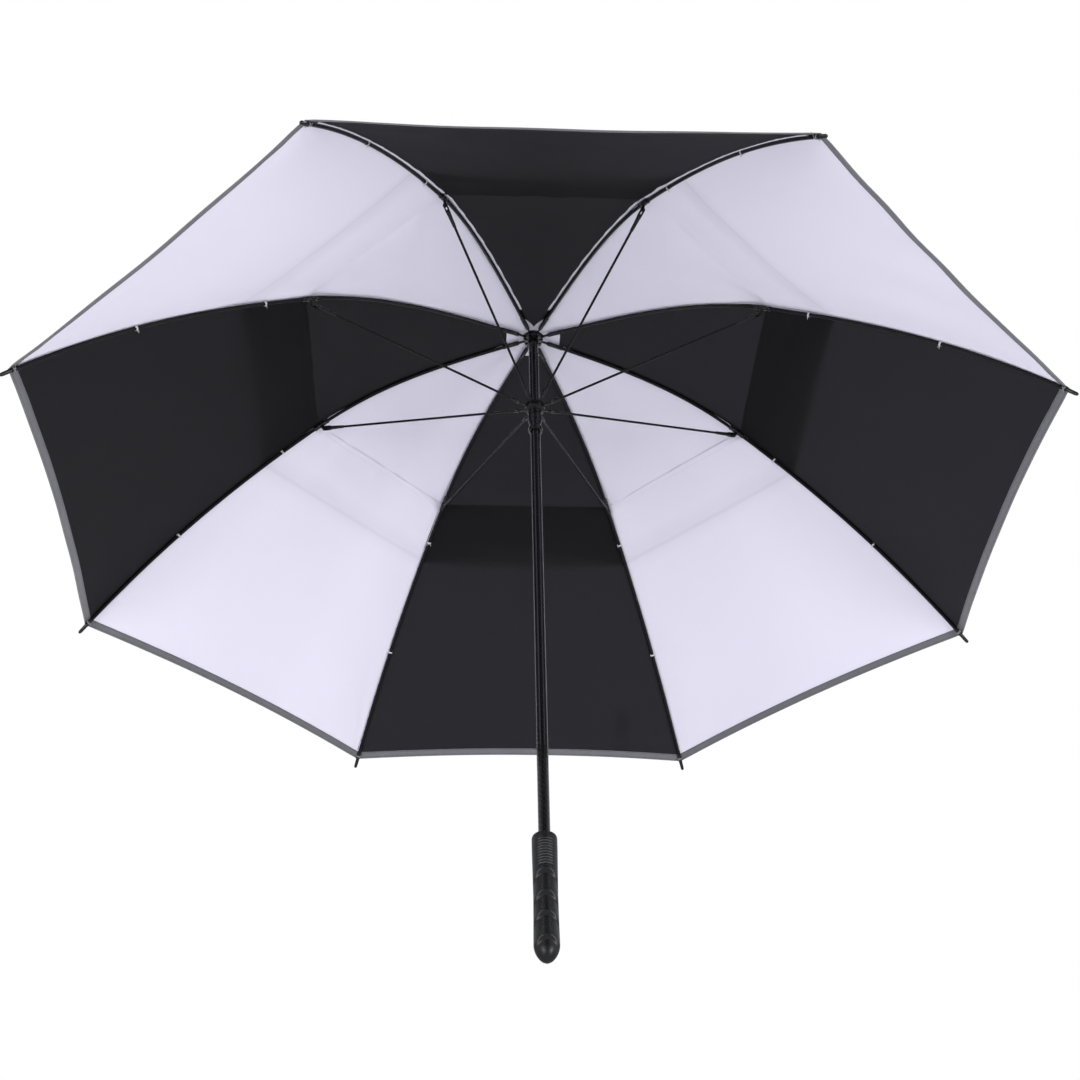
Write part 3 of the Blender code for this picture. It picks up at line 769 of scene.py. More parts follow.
def flex_split(u):
    """The radius where a line straight across the cloth from the rib's flexing place meets each u."""
    tangent = (math.cos(JOINT_SLOPE), -math.sin(JOINT_SLOPE))
    goal = FLEX[0] * tangent[0] + FLEX[1] * tangent[1]
    low, high = np.full_like(u, 0.30), np.full_like(u, 0.42)
    for _ in range(40):
        middle = (low + high) / 2
        reach = middle * (1 - u * math.sin(HALF) ** 2) * tangent[0] + height_at(middle) * tangent[1]
        low, high = np.where(reach < goal, middle, low), np.where(reach < goal, high, middle)
    return low


def flex_lap(u):
    """Where the upper canopy's outer panel laps the inner one, so that bending opens no slit."""
    return flex_split(u) - 0.002


def whole(value):
    """A panel's edge at the same radius for every u."""
    return lambda u: np.full_like(u, value)


def rim_edge(u):
    return RIM[0] - HEM_SCALLOP * bowed(u)


# name: body, first edge, last edge, rows, height, and the share of its width kept when folded
PANELS = {
    "lower_lip": ("rib_inner", whole(LOWER_START_R), flex_split, 12, lower_up, 0.05),
    "lower_cloth": ("rib_outer", flex_split, rim_edge, 96, lower_up, 0.155),
    "crown_cloth": ("rib_inner", whole(UPPER_START_R), whole(0.060), 14, upper_up, 0.68),
    "vent_top": ("rib_inner", whole(0.060), whole(0.120), 20, upper_up, 0.46),
    "vent_middle": ("rib_inner", whole(0.120), whole(0.200), 24, upper_up, 0.37),
    "vent_cloth": ("rib_inner", whole(0.200), flex_split, 40, upper_up, 0.30),
    "vent_edge": ("rib_outer", flex_lap, whole(UPPER_END_R), 24, upper_up, 0.19),
    "lining_cloth": ("rib_inner", whole(LINING_START_R), whole(LINING_END_R), 8, lining_up, 0.68),
}


def cad_node(panel, gore):
    """The CAD node that a panel replaces."""
    if panel == "lining_cloth":
        return "crown_lining"
    return f"lower_gore_{gore}" if panel.startswith("lower") else f"upper_gore_{gore}"


def panel_surface(panel, rib, side, u, radius, extra=0.0):
    """Points of a panel with its folds, and its two UV layers, for arrays of u and radius."""
    height = PANELS[panel][4]
    half_width = radius * math.sin(HALF)
    edge = u * half_width
    along = length_at(radius)
    across = -side * half_width * (1 - u)
    far = np.full_like(u, 1.0)
    tip = slack = far
    if panel.startswith("lower"):
        tip = length_at(RIM[0]) - along
        slack = along - length_at(LOWER_START_R)
    elif panel != "lining_cloth":
        slack = length_at(UPPER_END_R) - along
    folds = wrinkles(gore_of(rib, side), across, along, edge, tip, slack)
    points = canopy_points(rib, side, u, radius, height(u, radius) + folds + extra)
    return points, np.stack([across, along], -1), np.stack([edge, slack], -1)


def fold_axis(rib, side, start, end, rise):
    """The direction in which cloth on a side of a rib folds, with its anchor on the rib.

    rise is how steeply the cloth stands off between its ribs.
    """
    out, round_to = rib_axes(rib)
    slope = math.atan2(start[1] - end[1], end[0] - start[0])
    normal = out * math.sin(slope) + Vector((0, 0, math.cos(slope)))
    along = out * math.cos(slope) - Vector((0, 0, math.sin(slope)))
    flat = round_to * side * math.cos(HALF) - normal * (math.sin(HALF) * math.sin(slope) - rise)
    flat.normalize()
    axis = Matrix.Rotation(UNDER_LEAN, 4, along) @ flat
    middle = ((start[0] + end[0]) / 2, (start[1] + end[1]) / 2)
    return tuple(axis), tuple(in_rib(rib, *middle))


def fold(made, panel, rib, side):
    """Rides on the panel's body. The axis and anchor for gathering towards the rib are worked out, but
    nothing uses them.
    """
    body, keep = PANELS[panel][0], PANELS[panel][5]
    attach(made, f"{body}_{rib}")
    ends = (CLAMP, RIM) if body == "rib_outer" else (HUB, CLAMP)
    rise = 0.0
    if panel == "vent_edge":
        ends = (CLAMP, (UPPER_END_R, float(height_at(UPPER_END_R))))
        rise = VENT_RISE
    axis, anchor = fold_axis(rib, side, *ends, rise)
    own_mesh(made)
    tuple(axis)
    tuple(anchor)


TUCKED_GORE = 6  # its part of the lining is folded back to a V


def panel_grid(panel, gore):
    """The u and radius of each of a panel's points, row by row from its first edge."""
    _, first, last, rows, *_ = PANELS[panel]
    share = np.linspace(0, 1, rows)[:, None]
    if panel == "lining_cloth" and gore == TUCKED_GORE:
        share = share * (1 - 0.75 * COLUMNS)
    u = np.broadcast_to(COLUMNS, (rows, len(COLUMNS)))
    radius = first(COLUMNS) + (last(COLUMNS) - first(COLUMNS)) * share
    return u.ravel().copy(), radius.ravel()


def build_panel(panel, rib, side, finish):
    """One panel of a half gore."""
    u, radius = panel_grid(panel, gore_of(rib, side))
    points, grain, seam = panel_surface(panel, rib, side, u, radius)
    rows = PANELS[panel][3]
    faces = grid_faces(rows, len(COLUMNS), flip=side > 0)
    name = f"{panel}_{rib}{'a' if side > 0 else 'b'}"
    made = mesh_object(name, points, faces, finish, {"grain": grain, "seam": seam})
    sharpen_edge(made.data, rows, len(COLUMNS))
    solidify(made, CLOTH)
    fold(made, panel, rib, side)
    return made


def flat_size(panel, gore):
    """A panel's width, length and area as cut, before sewing."""
    u, radius = panel_grid(panel, gore)
    rows = PANELS[panel][3]
    points = canopy_points(1, 1, u, radius, PANELS[panel][4](u, radius)).reshape(rows, -1, 3)
    length = float(np.linalg.norm(np.diff(points, axis=0), axis=-1).sum(axis=0).max())
    width = float(radius.max()) * math.sin(HALF)
    down = np.diff(points, axis=0)[:, :-1]
    over = np.diff(points, axis=1)[:-1]
    area = float(np.linalg.norm(np.cross(down, over), axis=-1).sum())
    return width, length, min(area, 0.999 * width * length)


def build_tape(rib, side, finish):
    """The binding folded over the hem: up the inside, round the edge and back up the outside."""
    inner = [(v, -0.00035) for v in np.linspace(TAPE, 0, 8)]
    turn = [(-0.0007, -0.0001), (-0.0009, 0.00015), (-0.0007, 0.0004)]
    outer = [(v, 0.00065) for v in np.linspace(0, TAPE, 8)]
    section = inner + turn + outer
    u = np.tile(COLUMNS, len(section))
    back = np.repeat([v for v, _ in section], len(COLUMNS))
    radius = rim_edge(u) - back * math.cos(RIM_SLOPE)
    extra = np.repeat([up for _, up in section], len(COLUMNS))
    points, grain, _ = panel_surface("lower_cloth", rib, side, u, radius, extra)
    seam = np.stack([grain[:, 0], back], -1)
    faces = grid_faces(len(section), len(COLUMNS), flip=side < 0)
    name = f"hem_tape_{rib}{'a' if side > 0 else 'b'}"
    made = mesh_object(name, points, faces, finish, {"grain": grain, "seam": seam})
    sharpen_edge(made.data, len(section), len(COLUMNS))
    solidify(made, 0.00025, 0.0)
    fold(made, "lower_cloth", rib, side)
    return made


def build_canopy(finishes):
    """Both canopies and the lining, as panels of half gores, and the tape on the hem."""
    for rib in ALL_RIBS:
        for side in SIDES:
            gore = gore_of(rib, side)
            colour = "white" if gore % 2 else "black"
            tape = build_tape(rib, side, finishes["tape"])
            for panel in PANELS:
                shade = "white" if panel == "lining_cloth" else colour
                # white lower panels take the copy of the white cloth with the painted shadow
                shaded = shade == "white" and panel.startswith("lower")
                made = build_panel(panel, rib, side, finishes["white_lower" if shaded else shade])
                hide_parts(cad_node(panel, gore))
                width, length, area = flat_size(panel, gore)


# ---------------------------------------------------------------- ribs


RIB_LENGTH = float(CURVE_LENGTH[-1])
BEND = (-0.025, 0.035)  # the stretch that bends, along the rib from its flexing place


def bend(made, rib):
    """Bakes the transform of a piece that follows both parts of the rib. The ends of the stretch where the
    rib bends are worked out, but nothing uses them.
    """
    start, end = (radius_at(length_at(FLEX[0]) + d) for d in BEND)
    tuple(in_rib(rib, start, height_at(start)))
    tuple(in_rib(rib, end, height_at(end)))
    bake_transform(made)


def build_rib_rods(finish):
    """One springy rod from the hub's fitting to the tip."""
    for rib in ALL_RIBS:
        radii = [float(radius_at(d)) for d in np.linspace(0.012, RIB_LENGTH - 0.004, 120)]
        path = [in_rib(rib, r, height_at(r)) for r in radii]
        made = tube_object(f"rib_rod_{rib}", [swept(path, [RIB_R] * len(path))], finish)
        bend(made, rib)
        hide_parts(f"rib_outer_{rib}")


def rib_point(rib, length, up=0.0, across=0.0):
    """A point this far along a rib's centreline, up from it and to its side."""
    radius = float(radius_at(length))
    slope = float(slope_at(radius))
    z = float(height_at(radius)) - max(length - RIB_LENGTH, 0) * math.sin(RIM_SLOPE)
    return in_rib(rib, radius + up * math.sin(slope), z + up * math.cos(slope), across)


def rivet(rib, place, half):
    """A pin across a rib's plane with two domed heads."""
    widths = [(-half - 0.0005, 0.0004), (-half - 0.0003, 0.0011), (-half, 0.0015), (-half, 0.0009)]
    widths += [(-w, r) for w, r in reversed(widths)]
    return profiled(lambda w: in_rib(rib, *place, across=w), widths, 12)


BLADE_R = 0.0022
BLADE_FLAT = (0.46, 1.0)
LUG_FLAT = (0.62, 1.0)
CHEEK_FLAT = (0.22, 1.0)


def build_rib_fittings(finish):
    """On each rib: the blade and barrel at the crown, and the clamp with its lug below."""
    blade = [(-BLADE_R, 0.0009), (-BLADE_R * 0.7, BLADE_R * 0.75)]
    blade += [(0.0, BLADE_R), (0.012, BLADE_R), (0.014, BLADE_R)]
    barrel = [(0.0096, 0.0012), (0.0100, 0.0022), (0.0125, 0.0030), (0.0290, 0.0030), (0.0296, 0.0027)]
    barrel += [(0.0304, 0.0027), (0.0310, 0.0030), (0.0335, 0.0029), (0.0342, 0.0025), (0.0344, 0.0020)]
    half = CLAMP_HALF
    clamp = [(-half, 0.0023), (-half, 0.0029), (-half + 0.0006, 0.0033), (-half + 0.0040, 0.0033)]
    clamp += [(-half + 0.0044, 0.0030), (-half + 0.0054, 0.0030), (-half + 0.0058, 0.0033)]
    clamp += [(-d, r) for d, r in reversed(clamp)]
    lug = [(0, 0.0034), (0.5, 0.0027), (1, 0.0026), (1.17, 0.0021), (1.27, 0.0010)]
    middle = float(length_at(CLAMP[0]))
    down = (JOINT[0] - CLAMP[0], JOINT[1] - CLAMP[1])
    for rib in ALL_RIBS:

        def at_hub(d):
            return in_rib(rib, HUB[0] + d * math.cos(HUB_SLOPE), HUB[1] - d * math.sin(HUB_SLOPE))

        def below_clamp(share):
            return in_rib(rib, CLAMP[0] + down[0] * share, CLAMP[1] + down[1] * share)

        root = [
            profiled(at_hub, blade, 12, BLADE_FLAT),
            profiled(lambda d: rib_point(rib, d), barrel),
        ]
        joint = [
            profiled(lambda d: rib_point(rib, middle + d), clamp),
            profiled(below_clamp, lug, 16, LUG_FLAT),
        ]
        for name, parts in (("rib_root", root), ("rib_clamp", joint)):
            made = tube_object(f"{name}_{rib}", parts, finish)
            settle(made, f"rib_inner_{rib}", "plastic_black", f"rib_inner_{rib}")


def build_stretchers(fibreglass, plastic):
    """On each stretcher: an ear at the runner, a thin rod, and a sleeve that ends in a riveted fork."""
    length = math.dist(RUNNER, JOINT)
    ahead = ((JOINT[0] - RUNNER[0]) / length, (JOINT[1] - RUNNER[1]) / length)
    rod = [(d, 0.0016) for d in np.linspace(0.016, length - 0.014, 14)]
    ear = [(-0.0022, 0.0009), (-0.0015, 0.0017), (0.0, 0.0022), (0.0125, 0.0022), (0.0135, 0.0022)]
    barrel = [(0.0110, 0.0014), (0.0118, 0.0024), (0.0135, 0.0028)]
    barrel += [(0.0235, 0.0026), (0.0245, 0.0021), (0.0247, 0.0014)]
    end = length - 0.0068
    sleeve = [(end - 0.0255, 0.0014), (end - 0.0250, 0.0020), (end - 0.0240, 0.0021)]
    sleeve += [(end - 0.0020, 0.0027), (end - 0.0004, 0.0027), (end, 0.0022)]
    cheek = [(length - 0.0120, 0.0024), (length - 0.0085, 0.0028), (length, 0.0028)]
    cheek += [(length + 0.0020, 0.0020), (length + 0.0027, 0.0009)]
    for rib in ALL_RIBS:

        def at(d, across=0.0):
            return in_rib(rib, RUNNER[0] + ahead[0] * d, RUNNER[1] + ahead[1] * d, across)

        parts = [
            profiled(at, ear, 14, BLADE_FLAT),
            profiled(at, barrel, 14),
            profiled(at, sleeve, 14),
            rivet(rib, JOINT, 0.0026),
        ]
        for side in SIDES:
            parts.append(profiled(lambda d: at(d, side * 0.0019), cheek, 14, CHEEK_FLAT))
        for name, pieces, finish, slot in (
            ("stretcher_rod", [profiled(at, rod, 14)], fibreglass, "fibreglass_black"),
            ("stretcher_ends", parts, plastic, "plastic_black"),
        ):
            made = tube_object(f"{name}_{rib}", pieces, finish)
            settle(made, f"stretcher_{rib}", slot, f"stretcher_{rib}")


def build_tips(plastic, grey_thread):
    """A ribbed cap over each rib's end, and the thread that ties the hem's corner to it."""
    cap = [(-0.0090, 0.0020), (-0.0088, 0.0026), (-0.0078, 0.0028), (-0.0060, 0.0028), (-0.0055, 0.0025)]
    cap += [(-0.0020, 0.0025), (-0.0014, 0.0029), (0.0002, 0.0029), (0.0008, 0.0026), (0.0110, 0.0024)]
    cap += [(0.0128, 0.0023), (0.0142, 0.0017), (0.0149, 0.0008)]
    for rib in ALL_RIBS:
        parts = [profiled(lambda d: rib_point(rib, RIB_LENGTH + d), cap, 20)]
        made = tube_object(f"tip_cap_{rib}", parts, plastic)
        settle(made, f"rib_outer_{rib}", "plastic_black", f"tip_{rib}")
        loops = [wound_thread(rib, RIB_LENGTH - 0.0038, 0.0029, 3.0, 0.00075, 0.00032)]
        for side in SIDES:
            corner = []
            for t in np.linspace(0, 1, 9):
                drop = -0.0026 * math.cos(math.pi * t / 2) - 0.0002
                up = -0.0008 + 0.0030 * t + drop * (1 - t)
                across = side * (0.0026 + 0.0045 * t)
                corner.append(rib_point(rib, RIB_LENGTH - 0.0035 - 0.004 * t, up, across))
            loops.append(swept(corner, [0.00032] * len(corner), 8))
        thread = tube_object(f"tip_thread_{rib}", loops, grey_thread)
        settle(thread, f"rib_outer_{rib}", "thread_white")


def wound_thread(rib, length, radius, turns, pitch, thick):
    """Thread wound round a rib, as swept parts."""
    steps = int(turns * 18)
    path = []
    for n in range(steps + 1):
        angle = 2 * math.pi * turns * n / steps + 0.6
        along = length + pitch * turns * (n / steps - 0.5)
        path.append(rib_point(rib, along, radius * math.cos(angle), radius * math.sin(angle)))
    return swept(path, [thick] * len(path), 8)


TIE_PLACES = (0.3795, 0.532)  # as radius


def build_ties(white_thread):
    """White thread that ties the seam to each rib in two places, with a knot and two tails below."""
    random = np.random.default_rng(7)
    for rib in ALL_RIBS:
        parts = []
        for radius in TIE_PLACES:
            middle = float(length_at(radius))
            parts.append(wound_thread(rib, middle, RIB_R + 0.0006, 3.2, 0.0008, 0.00042))
            knot = [rib_point(rib, middle + 0.0009 * t, -RIB_R - 0.0012) for t in (-1, -0.6, 0, 0.6, 1)]
            parts.append(swept(knot, [0.0003, 0.0008, 0.0010, 0.0008, 0.0003], 10))
            for side in SIDES:
                long = random.uniform(0.003, 0.0055)
                sway = random.uniform(0.2, 0.9)
                tail = []
                for t in np.linspace(0, 1, 7):
                    across = side * long * t * sway * (1 - 0.3 * t)
                    up = -RIB_R - 0.001 - long * 0.75 * t
                    tail.append(rib_point(rib, middle + long * t * (sway - 0.4), up, across))
                parts.append(swept(tail, [0.00030] * 6 + [0.00022], 8))
        made = tube_object(f"rib_ties_{rib}", parts, white_thread)
        settle(made, f"rib_outer_{rib}", "thread_white")


SEAM_HALF = 0.0035
SEAM_PROUD = 0.00045


def build_seams(finish):
    """The felled seams along the ribs, outside each canopy."""
    offsets = np.array([-1, -0.92, -0.7, -0.4, -0.15, 0.15, 0.4, 0.7, 0.92, 1]) * SEAM_HALF
    rise = SEAM_PROUD * np.sqrt(np.maximum(1 - (offsets / SEAM_HALF) ** 2, 0)) + CLOTH - 0.00005
    for rib in ALL_RIBS:
        for name, first, last, rows, height in (
            ("lower_seam", LOWER_START_R, RIM[0] - 0.0005, 90, lower_up),
            ("upper_seam", UPPER_START_R + 0.004, UPPER_END_R, 110, upper_up),
        ):
            radius = np.repeat(np.linspace(first, last, rows), len(offsets))
            across = np.tile(offsets, rows)
            lift = np.tile(rise, rows)
            across *= np.minimum(1, radius * math.sin(HALF) / 0.012)  # narrow near the crown
            u = np.abs(across) / (radius * math.sin(HALF))
            points = np.empty((len(radius), 3))
            up = height(u, radius) + lift
            for side in SIDES:
                mine = across * side > 0
                points[mine] = canopy_points(rib, side, u[mine], radius[mine], up[mine])
            grain = np.stack([across, length_at(radius)], -1)
            faces = grid_faces(rows, len(offsets))
            made = mesh_object(f"{name}_{rib}", points, faces, finish, {"grain": grain, "seam": grain})
            solidify(made, 0.0002, -1.0)
            if name == "lower_seam":
                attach(made, f"rib_outer_{rib}")
            else:
                bend(made, rib)


ALLOWANCE = (0.0015, 0.0056)  # where it starts and ends, from the seam
ALLOWANCE_PANELS = ("vent_top", "vent_middle", "vent_cloth", "lower_cloth")


def build_allowances(finish):
    """The white gores' seam allowances, seen inside beside the two ribs nearest the front."""
    section = [(0, -0.0002), (0.1, -0.0007), (0.35, -0.0011), (0.6, -0.0011), (0.85, -0.0008), (1, -0.0002)]
    rows = 50
    for rib, side in ((TUCKED_GORE, 1), (TUCKED_GORE + 1, -1)):
        for panel in ALLOWANCE_PANELS:
            first, last = (float(edge(np.zeros(1))[0]) for edge in PANELS[panel][1:3])
            if panel == "lower_cloth":
                last -= 0.014  # it stops short of the tape
            radius = np.repeat(np.linspace(first, last, rows), len(section))
            share = np.tile([t for t, _ in section], rows)
            drop = np.tile([d for _, d in section], rows)
            waver = 0.0004 * np.sin(radius * 190 + rib) * share
            across = ALLOWANCE[0] + (ALLOWANCE[1] - ALLOWANCE[0]) * share + waver
            u = across / (radius * math.sin(HALF))
            points, _, _ = panel_surface(panel, rib, side, u, radius, drop)
            grain = np.stack([across, length_at(radius)], -1)
            faces = grid_faces(rows, len(section), flip=side < 0)
            name = f"allowance_{panel}_{rib}"
            made = mesh_object(name, points, faces, finish, {"grain": grain, "seam": grain})
            solidify(made, 0.0002, 0.0)
            fold(made, panel, rib, side)


STRAP_RIB = 2
STRAP_MIDDLE = 0.160  # from its gore's middle
STRAP_HALF = 0.011
STRAP_FROM = 0.004  # up from the hem
STRAP_TO = 0.082
PATCH_TO = STRAP_TO - 0.003
PATCH_LENGTH = 0.031


def build_strap(finish):
    """The closing strap, folded back on itself outside its gore, with a patch that fastens it."""
    for name, half, low, high, extra, thick in (
        ("strap_band", STRAP_HALF, STRAP_FROM, STRAP_TO, 0.0009, 0.0010),
        ("strap_patch", STRAP_HALF - 0.002, PATCH_TO - PATCH_LENGTH, PATCH_TO, 0.0021, 0.0007),
    ):
        rows, columns = 28, 12
        back = np.repeat(np.linspace(high, low, rows), columns)
        across = np.tile(np.linspace(-half, half, columns), rows)
        radius = radius_at(RIB_LENGTH - back)
        u = 1 - (STRAP_MIDDLE + across) / (radius * math.sin(HALF))
        curl = 0.00048 * np.abs(np.cos(across / half * math.pi / 2) * np.sin(back * 90))
        points, _, _ = panel_surface("lower_cloth", STRAP_RIB, 1, u, radius, extra + curl)
        uv = np.stack([across, back], -1)
        made = mesh_object(name, points, grid_faces(rows, columns), finish, {"grain": uv, "seam": uv})
        solidify(made, thick)
        bevel = made.modifiers.new("soft_edge", "BEVEL")
        bevel.width = 0.0003
        bevel.segments = 2
        bevel.angle_limit = math.radians(40)
        fold(made, "lower_cloth", STRAP_RIB, 1)
        if name == "strap_band":
            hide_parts("closure_strap")


# ---------------------------------------------------------------- crown, runner, grip


SLOT_HALF = 0.0014
SHAFT_R = 0.00675
BORE_R = SHAFT_R + 0.0003
SLOT_FLOOR_R = 0.0084
GROOVE_R = 0.0101  # floor of the groove that holds the wire
FLANGE_R = 0.0133


def slotted(levels, arc=7):
    """A round body with a slot at each rib. levels are (radius, z, slot's floor radius or None)."""
    points, run = [], []
    for radius, z, floor in levels:
        for k in range(RIBS):
            middle = FIRST_RIB + k * RIB_STEP
            edge = math.asin(min(SLOT_HALF / radius, 0.99))
            inner = radius if floor is None else floor
            inner_edge = math.asin(min(SLOT_HALF / inner, 0.99))
            ring = [(radius, -edge), (inner, -inner_edge), (inner, inner_edge), (radius, edge)]
            step = (RIB_STEP - 2 * edge) / (arc + 1)
            ring += [(radius, edge + step * (n + 1)) for n in range(arc)]
            for r, angle in ring:
                points.append(Vector((r * math.cos(middle + angle), r * math.sin(middle + angle), z)))
                run.append((z, (middle + angle) * radius))
    return points, ring_faces(len(levels), RIBS * (4 + arc)), run


def slotted_object(name, levels, finish, node, body):
    """A slotted body as an object, with the points of levels at the same height merged."""
    points, faces, run = slotted(levels)
    made = mesh_object(name, points, faces, finish, {"run": run})
    mesh = bmesh.new()
    mesh.from_mesh(made.data)
    bmesh.ops.remove_doubles(mesh, verts=mesh.verts, dist=0.000004)
    bmesh.ops.recalc_face_normals(mesh, faces=mesh.faces)
    mesh.to_mesh(made.data)
    mesh.free()
    made.data.set_sharp_from_angle(angle=math.radians(35))
    settle(made, body, "plastic_black", node)


def build_crown(finish):
    """The notched hub at the top of the shaft."""
    z = HUB[1]
    floor, groove, rim = SLOT_FLOOR_R, GROOVE_R, FLANGE_R
    levels = [
        (BORE_R, z - 0.0050, None),
        (0.0086, z - 0.0050, None),
        (0.0086, z - 0.0050, floor),
        (rim - 0.0007, z - 0.0050, floor),
        (rim, z - 0.0043, floor),
        (rim, z - 0.0009, floor),
        (groove, z - 0.0009, floor),
        (groove, z + 0.0009, floor),
        (rim, z + 0.0009, floor),
        (rim, z + 0.0028, floor),
        (rim, z + 0.0028, None),
        (rim, z + 0.0052, None),
        (rim - 0.0006, z + 0.0063, None),
        (rim - 0.0020, z + 0.0070, None),
        (BORE_R, z + 0.0070, None),
    ]
    slotted_object("crown_hub", levels, finish, "crown", "root")


def build_runner(finish):
    """The sliding collar: a waisted sleeve with raised rings, and a notched flange at its top."""
    z = RUNNER[1]
    floor, groove, rim = SLOT_FLOOR_R, GROOVE_R, FLANGE_R
    levels = [(BORE_R, z - 0.0430, None), (0.0090, z - 0.0430, None), (0.0097, z - 0.0424, None)]
    levels += [(0.0098, z - 0.0385, None), (0.0094, z - 0.0372, None), (0.0083, z - 0.0345, None)]
    levels += [(0.0081, z - 0.0310, None), (0.0084, z - 0.0275, None), (0.0092, z - 0.0248, None)]
    for ring in (0.0236, 0.0206, 0.0176):  # raised rings for a thumb
        levels += [(0.0092, z - ring, None), (0.0096, z - ring + 0.0006, None)]
        levels += [(0.0096, z - ring + 0.0014, None), (0.0092, z - ring + 0.0020, None)]
    levels += [
        (0.0091, z - 0.0120, None),
        (0.0092, z - 0.0066, None),
        (0.0100, z - 0.0058, None),
        (rim - 0.0008, z - 0.0054, None),
        (rim, z - 0.0047, None),
        (rim, z - 0.0028, None),
        (rim, z - 0.0028, floor),
        (rim, z - 0.0009, floor),
        (groove, z - 0.0009, floor),
        (groove, z + 0.0009, floor),
        (rim, z + 0.0009, floor),
        (rim, z + 0.0040, floor),
        (rim - 0.0006, z + 0.0045, floor),
        (0.0085, z + 0.0045, floor),
        (0.0085, z + 0.0045, None),
        (0.0082, z + 0.0048, None),
        (0.0082, z + 0.0100, None),
        (0.0076, z + 0.0110, None),
        (BORE_R, z + 0.0110, None),
    ]
    slotted_object("runner_body", levels, finish, "runner", "runner")


GRIP_HALF = 0.077
GRIP_TOP = 0.0735
GRIP_R = 0.01425
GRIP_SHAPE = ((-0.059, GRIP_R), (-0.030, 0.0138), (0.0, 0.0135), (0.030, 0.0139), (0.055, GRIP_R))
FOOT = 0.021  # height of the domed foot
SHOULDER = (0.0050, 0.006)  # the rounded top edge: in, and down
THUMB = (0.0305, 0.0637)  # the thumb ridges' lowest and highest places
THUMB_HALF = 0.0088
RIDGE = 0.00332  # pitch of the thumb ridges
RIDGE_DEEP = 0.0014
SCOOP_EDGES = (0.0277, 0.0017, -0.0215, -0.0495)  # the finger scoops' upper edges
SCOOP_LENGTH = 0.0255
SCOOP_DEEP = 0.00459
FRONT = -math.pi / 2  # the fingers' side faces -Y


def grip_radius(angle, z):
    """The grip's radius at an angle from its front and a height, and the mask of the painted highlight, 1 on
    the thumb ridges' tops.
    """
    body = np.interp(z, *zip(*GRIP_SHAPE))
    foot = np.clip((-GRIP_HALF + FOOT - z) / FOOT, 0, 1)
    body = body * np.maximum(1 - foot**1.9, 0) ** 0.62
    top = np.clip((z - (GRIP_TOP - SHOULDER[1])) / SHOULDER[1], 0, 1)
    body = body - SHOULDER[0] * (1 - np.sqrt(np.maximum(1 - top**2, 0)))
    width = angle * GRIP_R
    patch = smooth((THUMB_HALF - np.abs(width)) / 0.0012)
    patch = patch * smooth((z - THUMB[0]) / 0.001) * smooth((THUMB[1] - z) / 0.001)
    arc = 0.10 * width**2 / THUMB_HALF
    grooves = 0.5 - 0.5 * np.cos(2 * math.pi * (z + arc - THUMB[0]) / RIDGE)
    body = body - patch * (RIDGE_DEEP * grooves**1.4)
    front = np.cos(np.clip(angle / math.radians(84), -1, 1) * math.pi / 2) ** 1.1
    for edge in SCOOP_EDGES:
        share = (edge - 0.0042 * (width / 0.012) ** 2 - z) / SCOOP_LENGTH
        shape = smooth(share / 0.24) * np.clip(1 - share, 0, 1) ** 1.4
        body = body - SCOOP_DEEP * front * shape
    return body, patch * (1 - grooves) ** 2


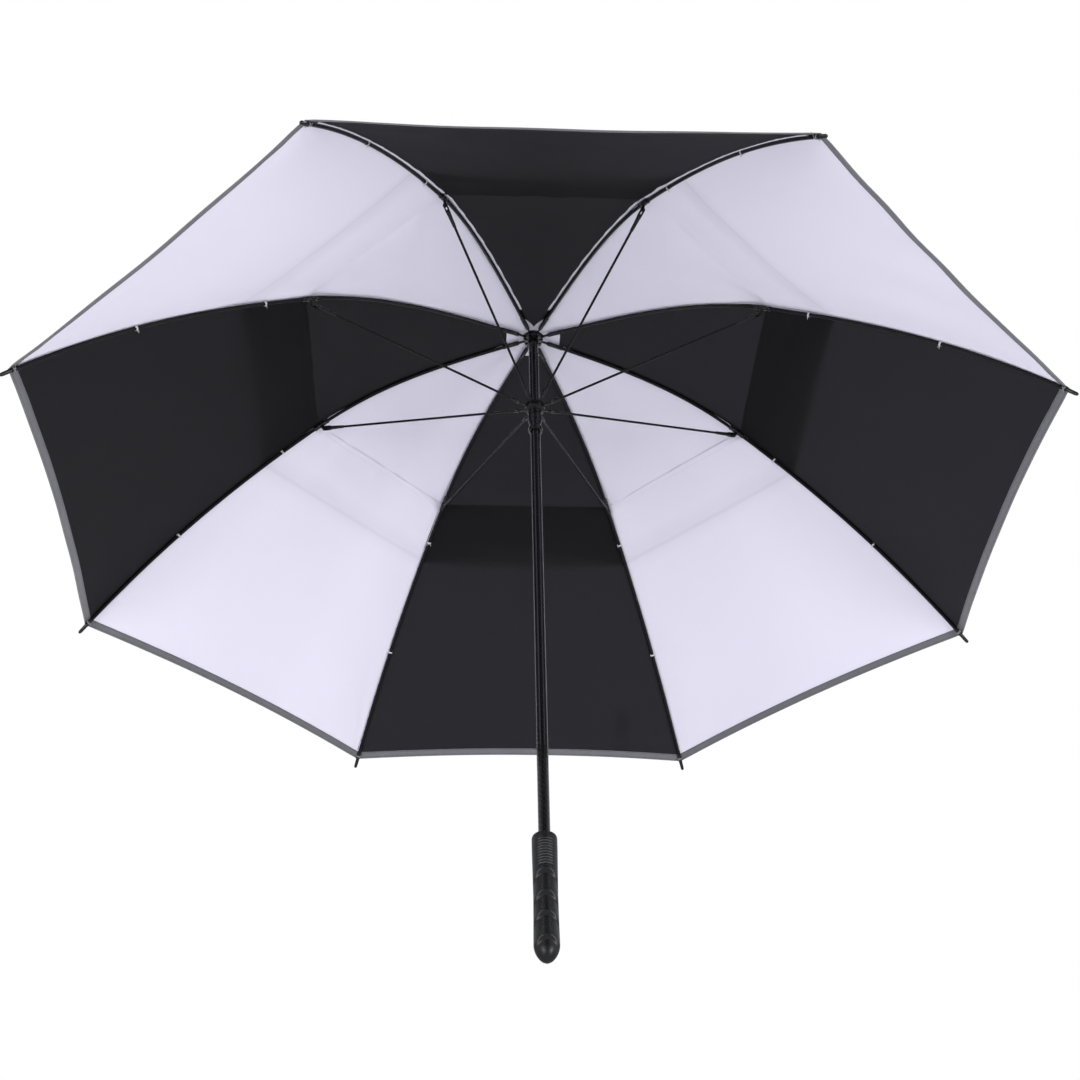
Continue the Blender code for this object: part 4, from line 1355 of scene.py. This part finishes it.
def build_grip(finish):
    """The moulded grip: thumb ridges and finger scoops on its front, and a domed foot."""
    around = 96
    foot = np.linspace(-GRIP_HALF, -GRIP_HALF + 0.004, 14)
    heights = np.concatenate([foot[:-1], np.linspace(foot[-1], GRIP_TOP, 300)])
    angles = np.linspace(0, 2 * math.pi, around, endpoint=False)
    z, turn = np.meshgrid(heights, angles, indexing="ij")
    offset = (turn - FRONT + math.pi) % (2 * math.pi) - math.pi
    radius, tops = grip_radius(offset, z)
    radius[0] = 0.0002
    points = np.stack([radius * np.cos(turn), radius * np.sin(turn), z], -1).reshape(-1, 3)
    faces = ring_faces(len(heights), around)
    faces.append(tuple(range(around))[::-1])
    last = (len(heights) - 1) * around
    mouth = len(points)
    bore = np.stack([BORE_R * np.cos(angles), BORE_R * np.sin(angles), np.full(around, GRIP_TOP)], -1)
    inside = bore - np.array((0, 0, 0.006))
    points = np.vstack([points, bore, inside])
    for n in range(around):
        m = (n + 1) % around
        faces.append((last + n, last + m, mouth + m, mouth + n))
        faces.append((mouth + n, mouth + m, mouth + around + m, mouth + around + n))
    faces.append(tuple(mouth + around + n for n in range(around)))
    # the mask of the painted highlight on the thumb ridges' tops, as a UV layer
    ridge = np.zeros((len(points), 2))
    ridge[: tops.size, 0] = tops.ravel()
    made = mesh_object("moulded_grip", points, faces, finish, {"ridge": ridge})
    made.data.set_sharp_from_angle(angle=math.radians(50))
    settle(made, "root", "grip_black", "grip")


# ---------------------------------------------------------------- the whole


def dress(node, finish):
    """Gives a CAD node a finish."""
    made = frame["nodes"][node]
    made.data.materials.clear()
    made.data.materials.append(finish)


WHITE = {
    "warp": (0.795, 0.77, 0.885),
    "weft": (0.835, 0.805, 0.925),
    "thread": (0.82, 0.80, 0.89),
    "through": (0.84, 0.81, 0.95),
    "share": 0.07,
    "gloss": 0.2,
}
BLACK = {
    "warp": (0.013, 0.0127, 0.0145),
    "weft": (0.018, 0.0176, 0.0198),
    "thread": (0.025, 0.025, 0.027),
    "through": (0.29, 0.28, 0.305),
    "share": 0.35,
    "gloss": 0.04,
}


def main():
    build_camera()
    build_world()
    build_lamps()
    build_floor()
    finishes = {
        "white": cloth_finish("white_cloth", **WHITE),
        # a copy of the white cloth with the painted shadow of the upper canopy's hem
        "white_lower": cloth_finish("white_lower_cloth", **WHITE, shadow=VENT_SHADOW),
        "black": cloth_finish("black_cloth", **BLACK),
        "tape": tape_finish(),
    }
    rod = rod_finish()
    plastic = plastic_finish("nylon", (0.0035, 0.0035, 0.004), (0.010, 0.010, 0.011), 0.2, 0.36)
    steel = steel_finish()
    white_thread = thread_finish("white_thread", (0.62, 0.62, 0.64), (0.85, 0.85, 0.87))
    grey_thread = thread_finish("grey_thread", (0.22, 0.22, 0.23), (0.42, 0.42, 0.44))
    build_rib_rods(rod)
    build_rib_fittings(plastic)
    build_stretchers(rod, plastic)
    build_canopy(finishes)
    build_seams(finishes["black"])
    build_allowances(finishes["white"])
    build_tips(plastic, grey_thread)
    build_ties(white_thread)
    build_strap(webbing_finish())
    build_crown(plastic)
    build_runner(plastic)
    build_grip(grip_finish())
    dress("shaft", shaft_finish())
    for node in ("ferrule", "top_cap"):
        dress(node, plastic)
    for node in ("crown_wire", "runner_wire", "top_catch", "bottom_catch"):
        dress(node, steel)


main()
bpy.context.view_layer.update()
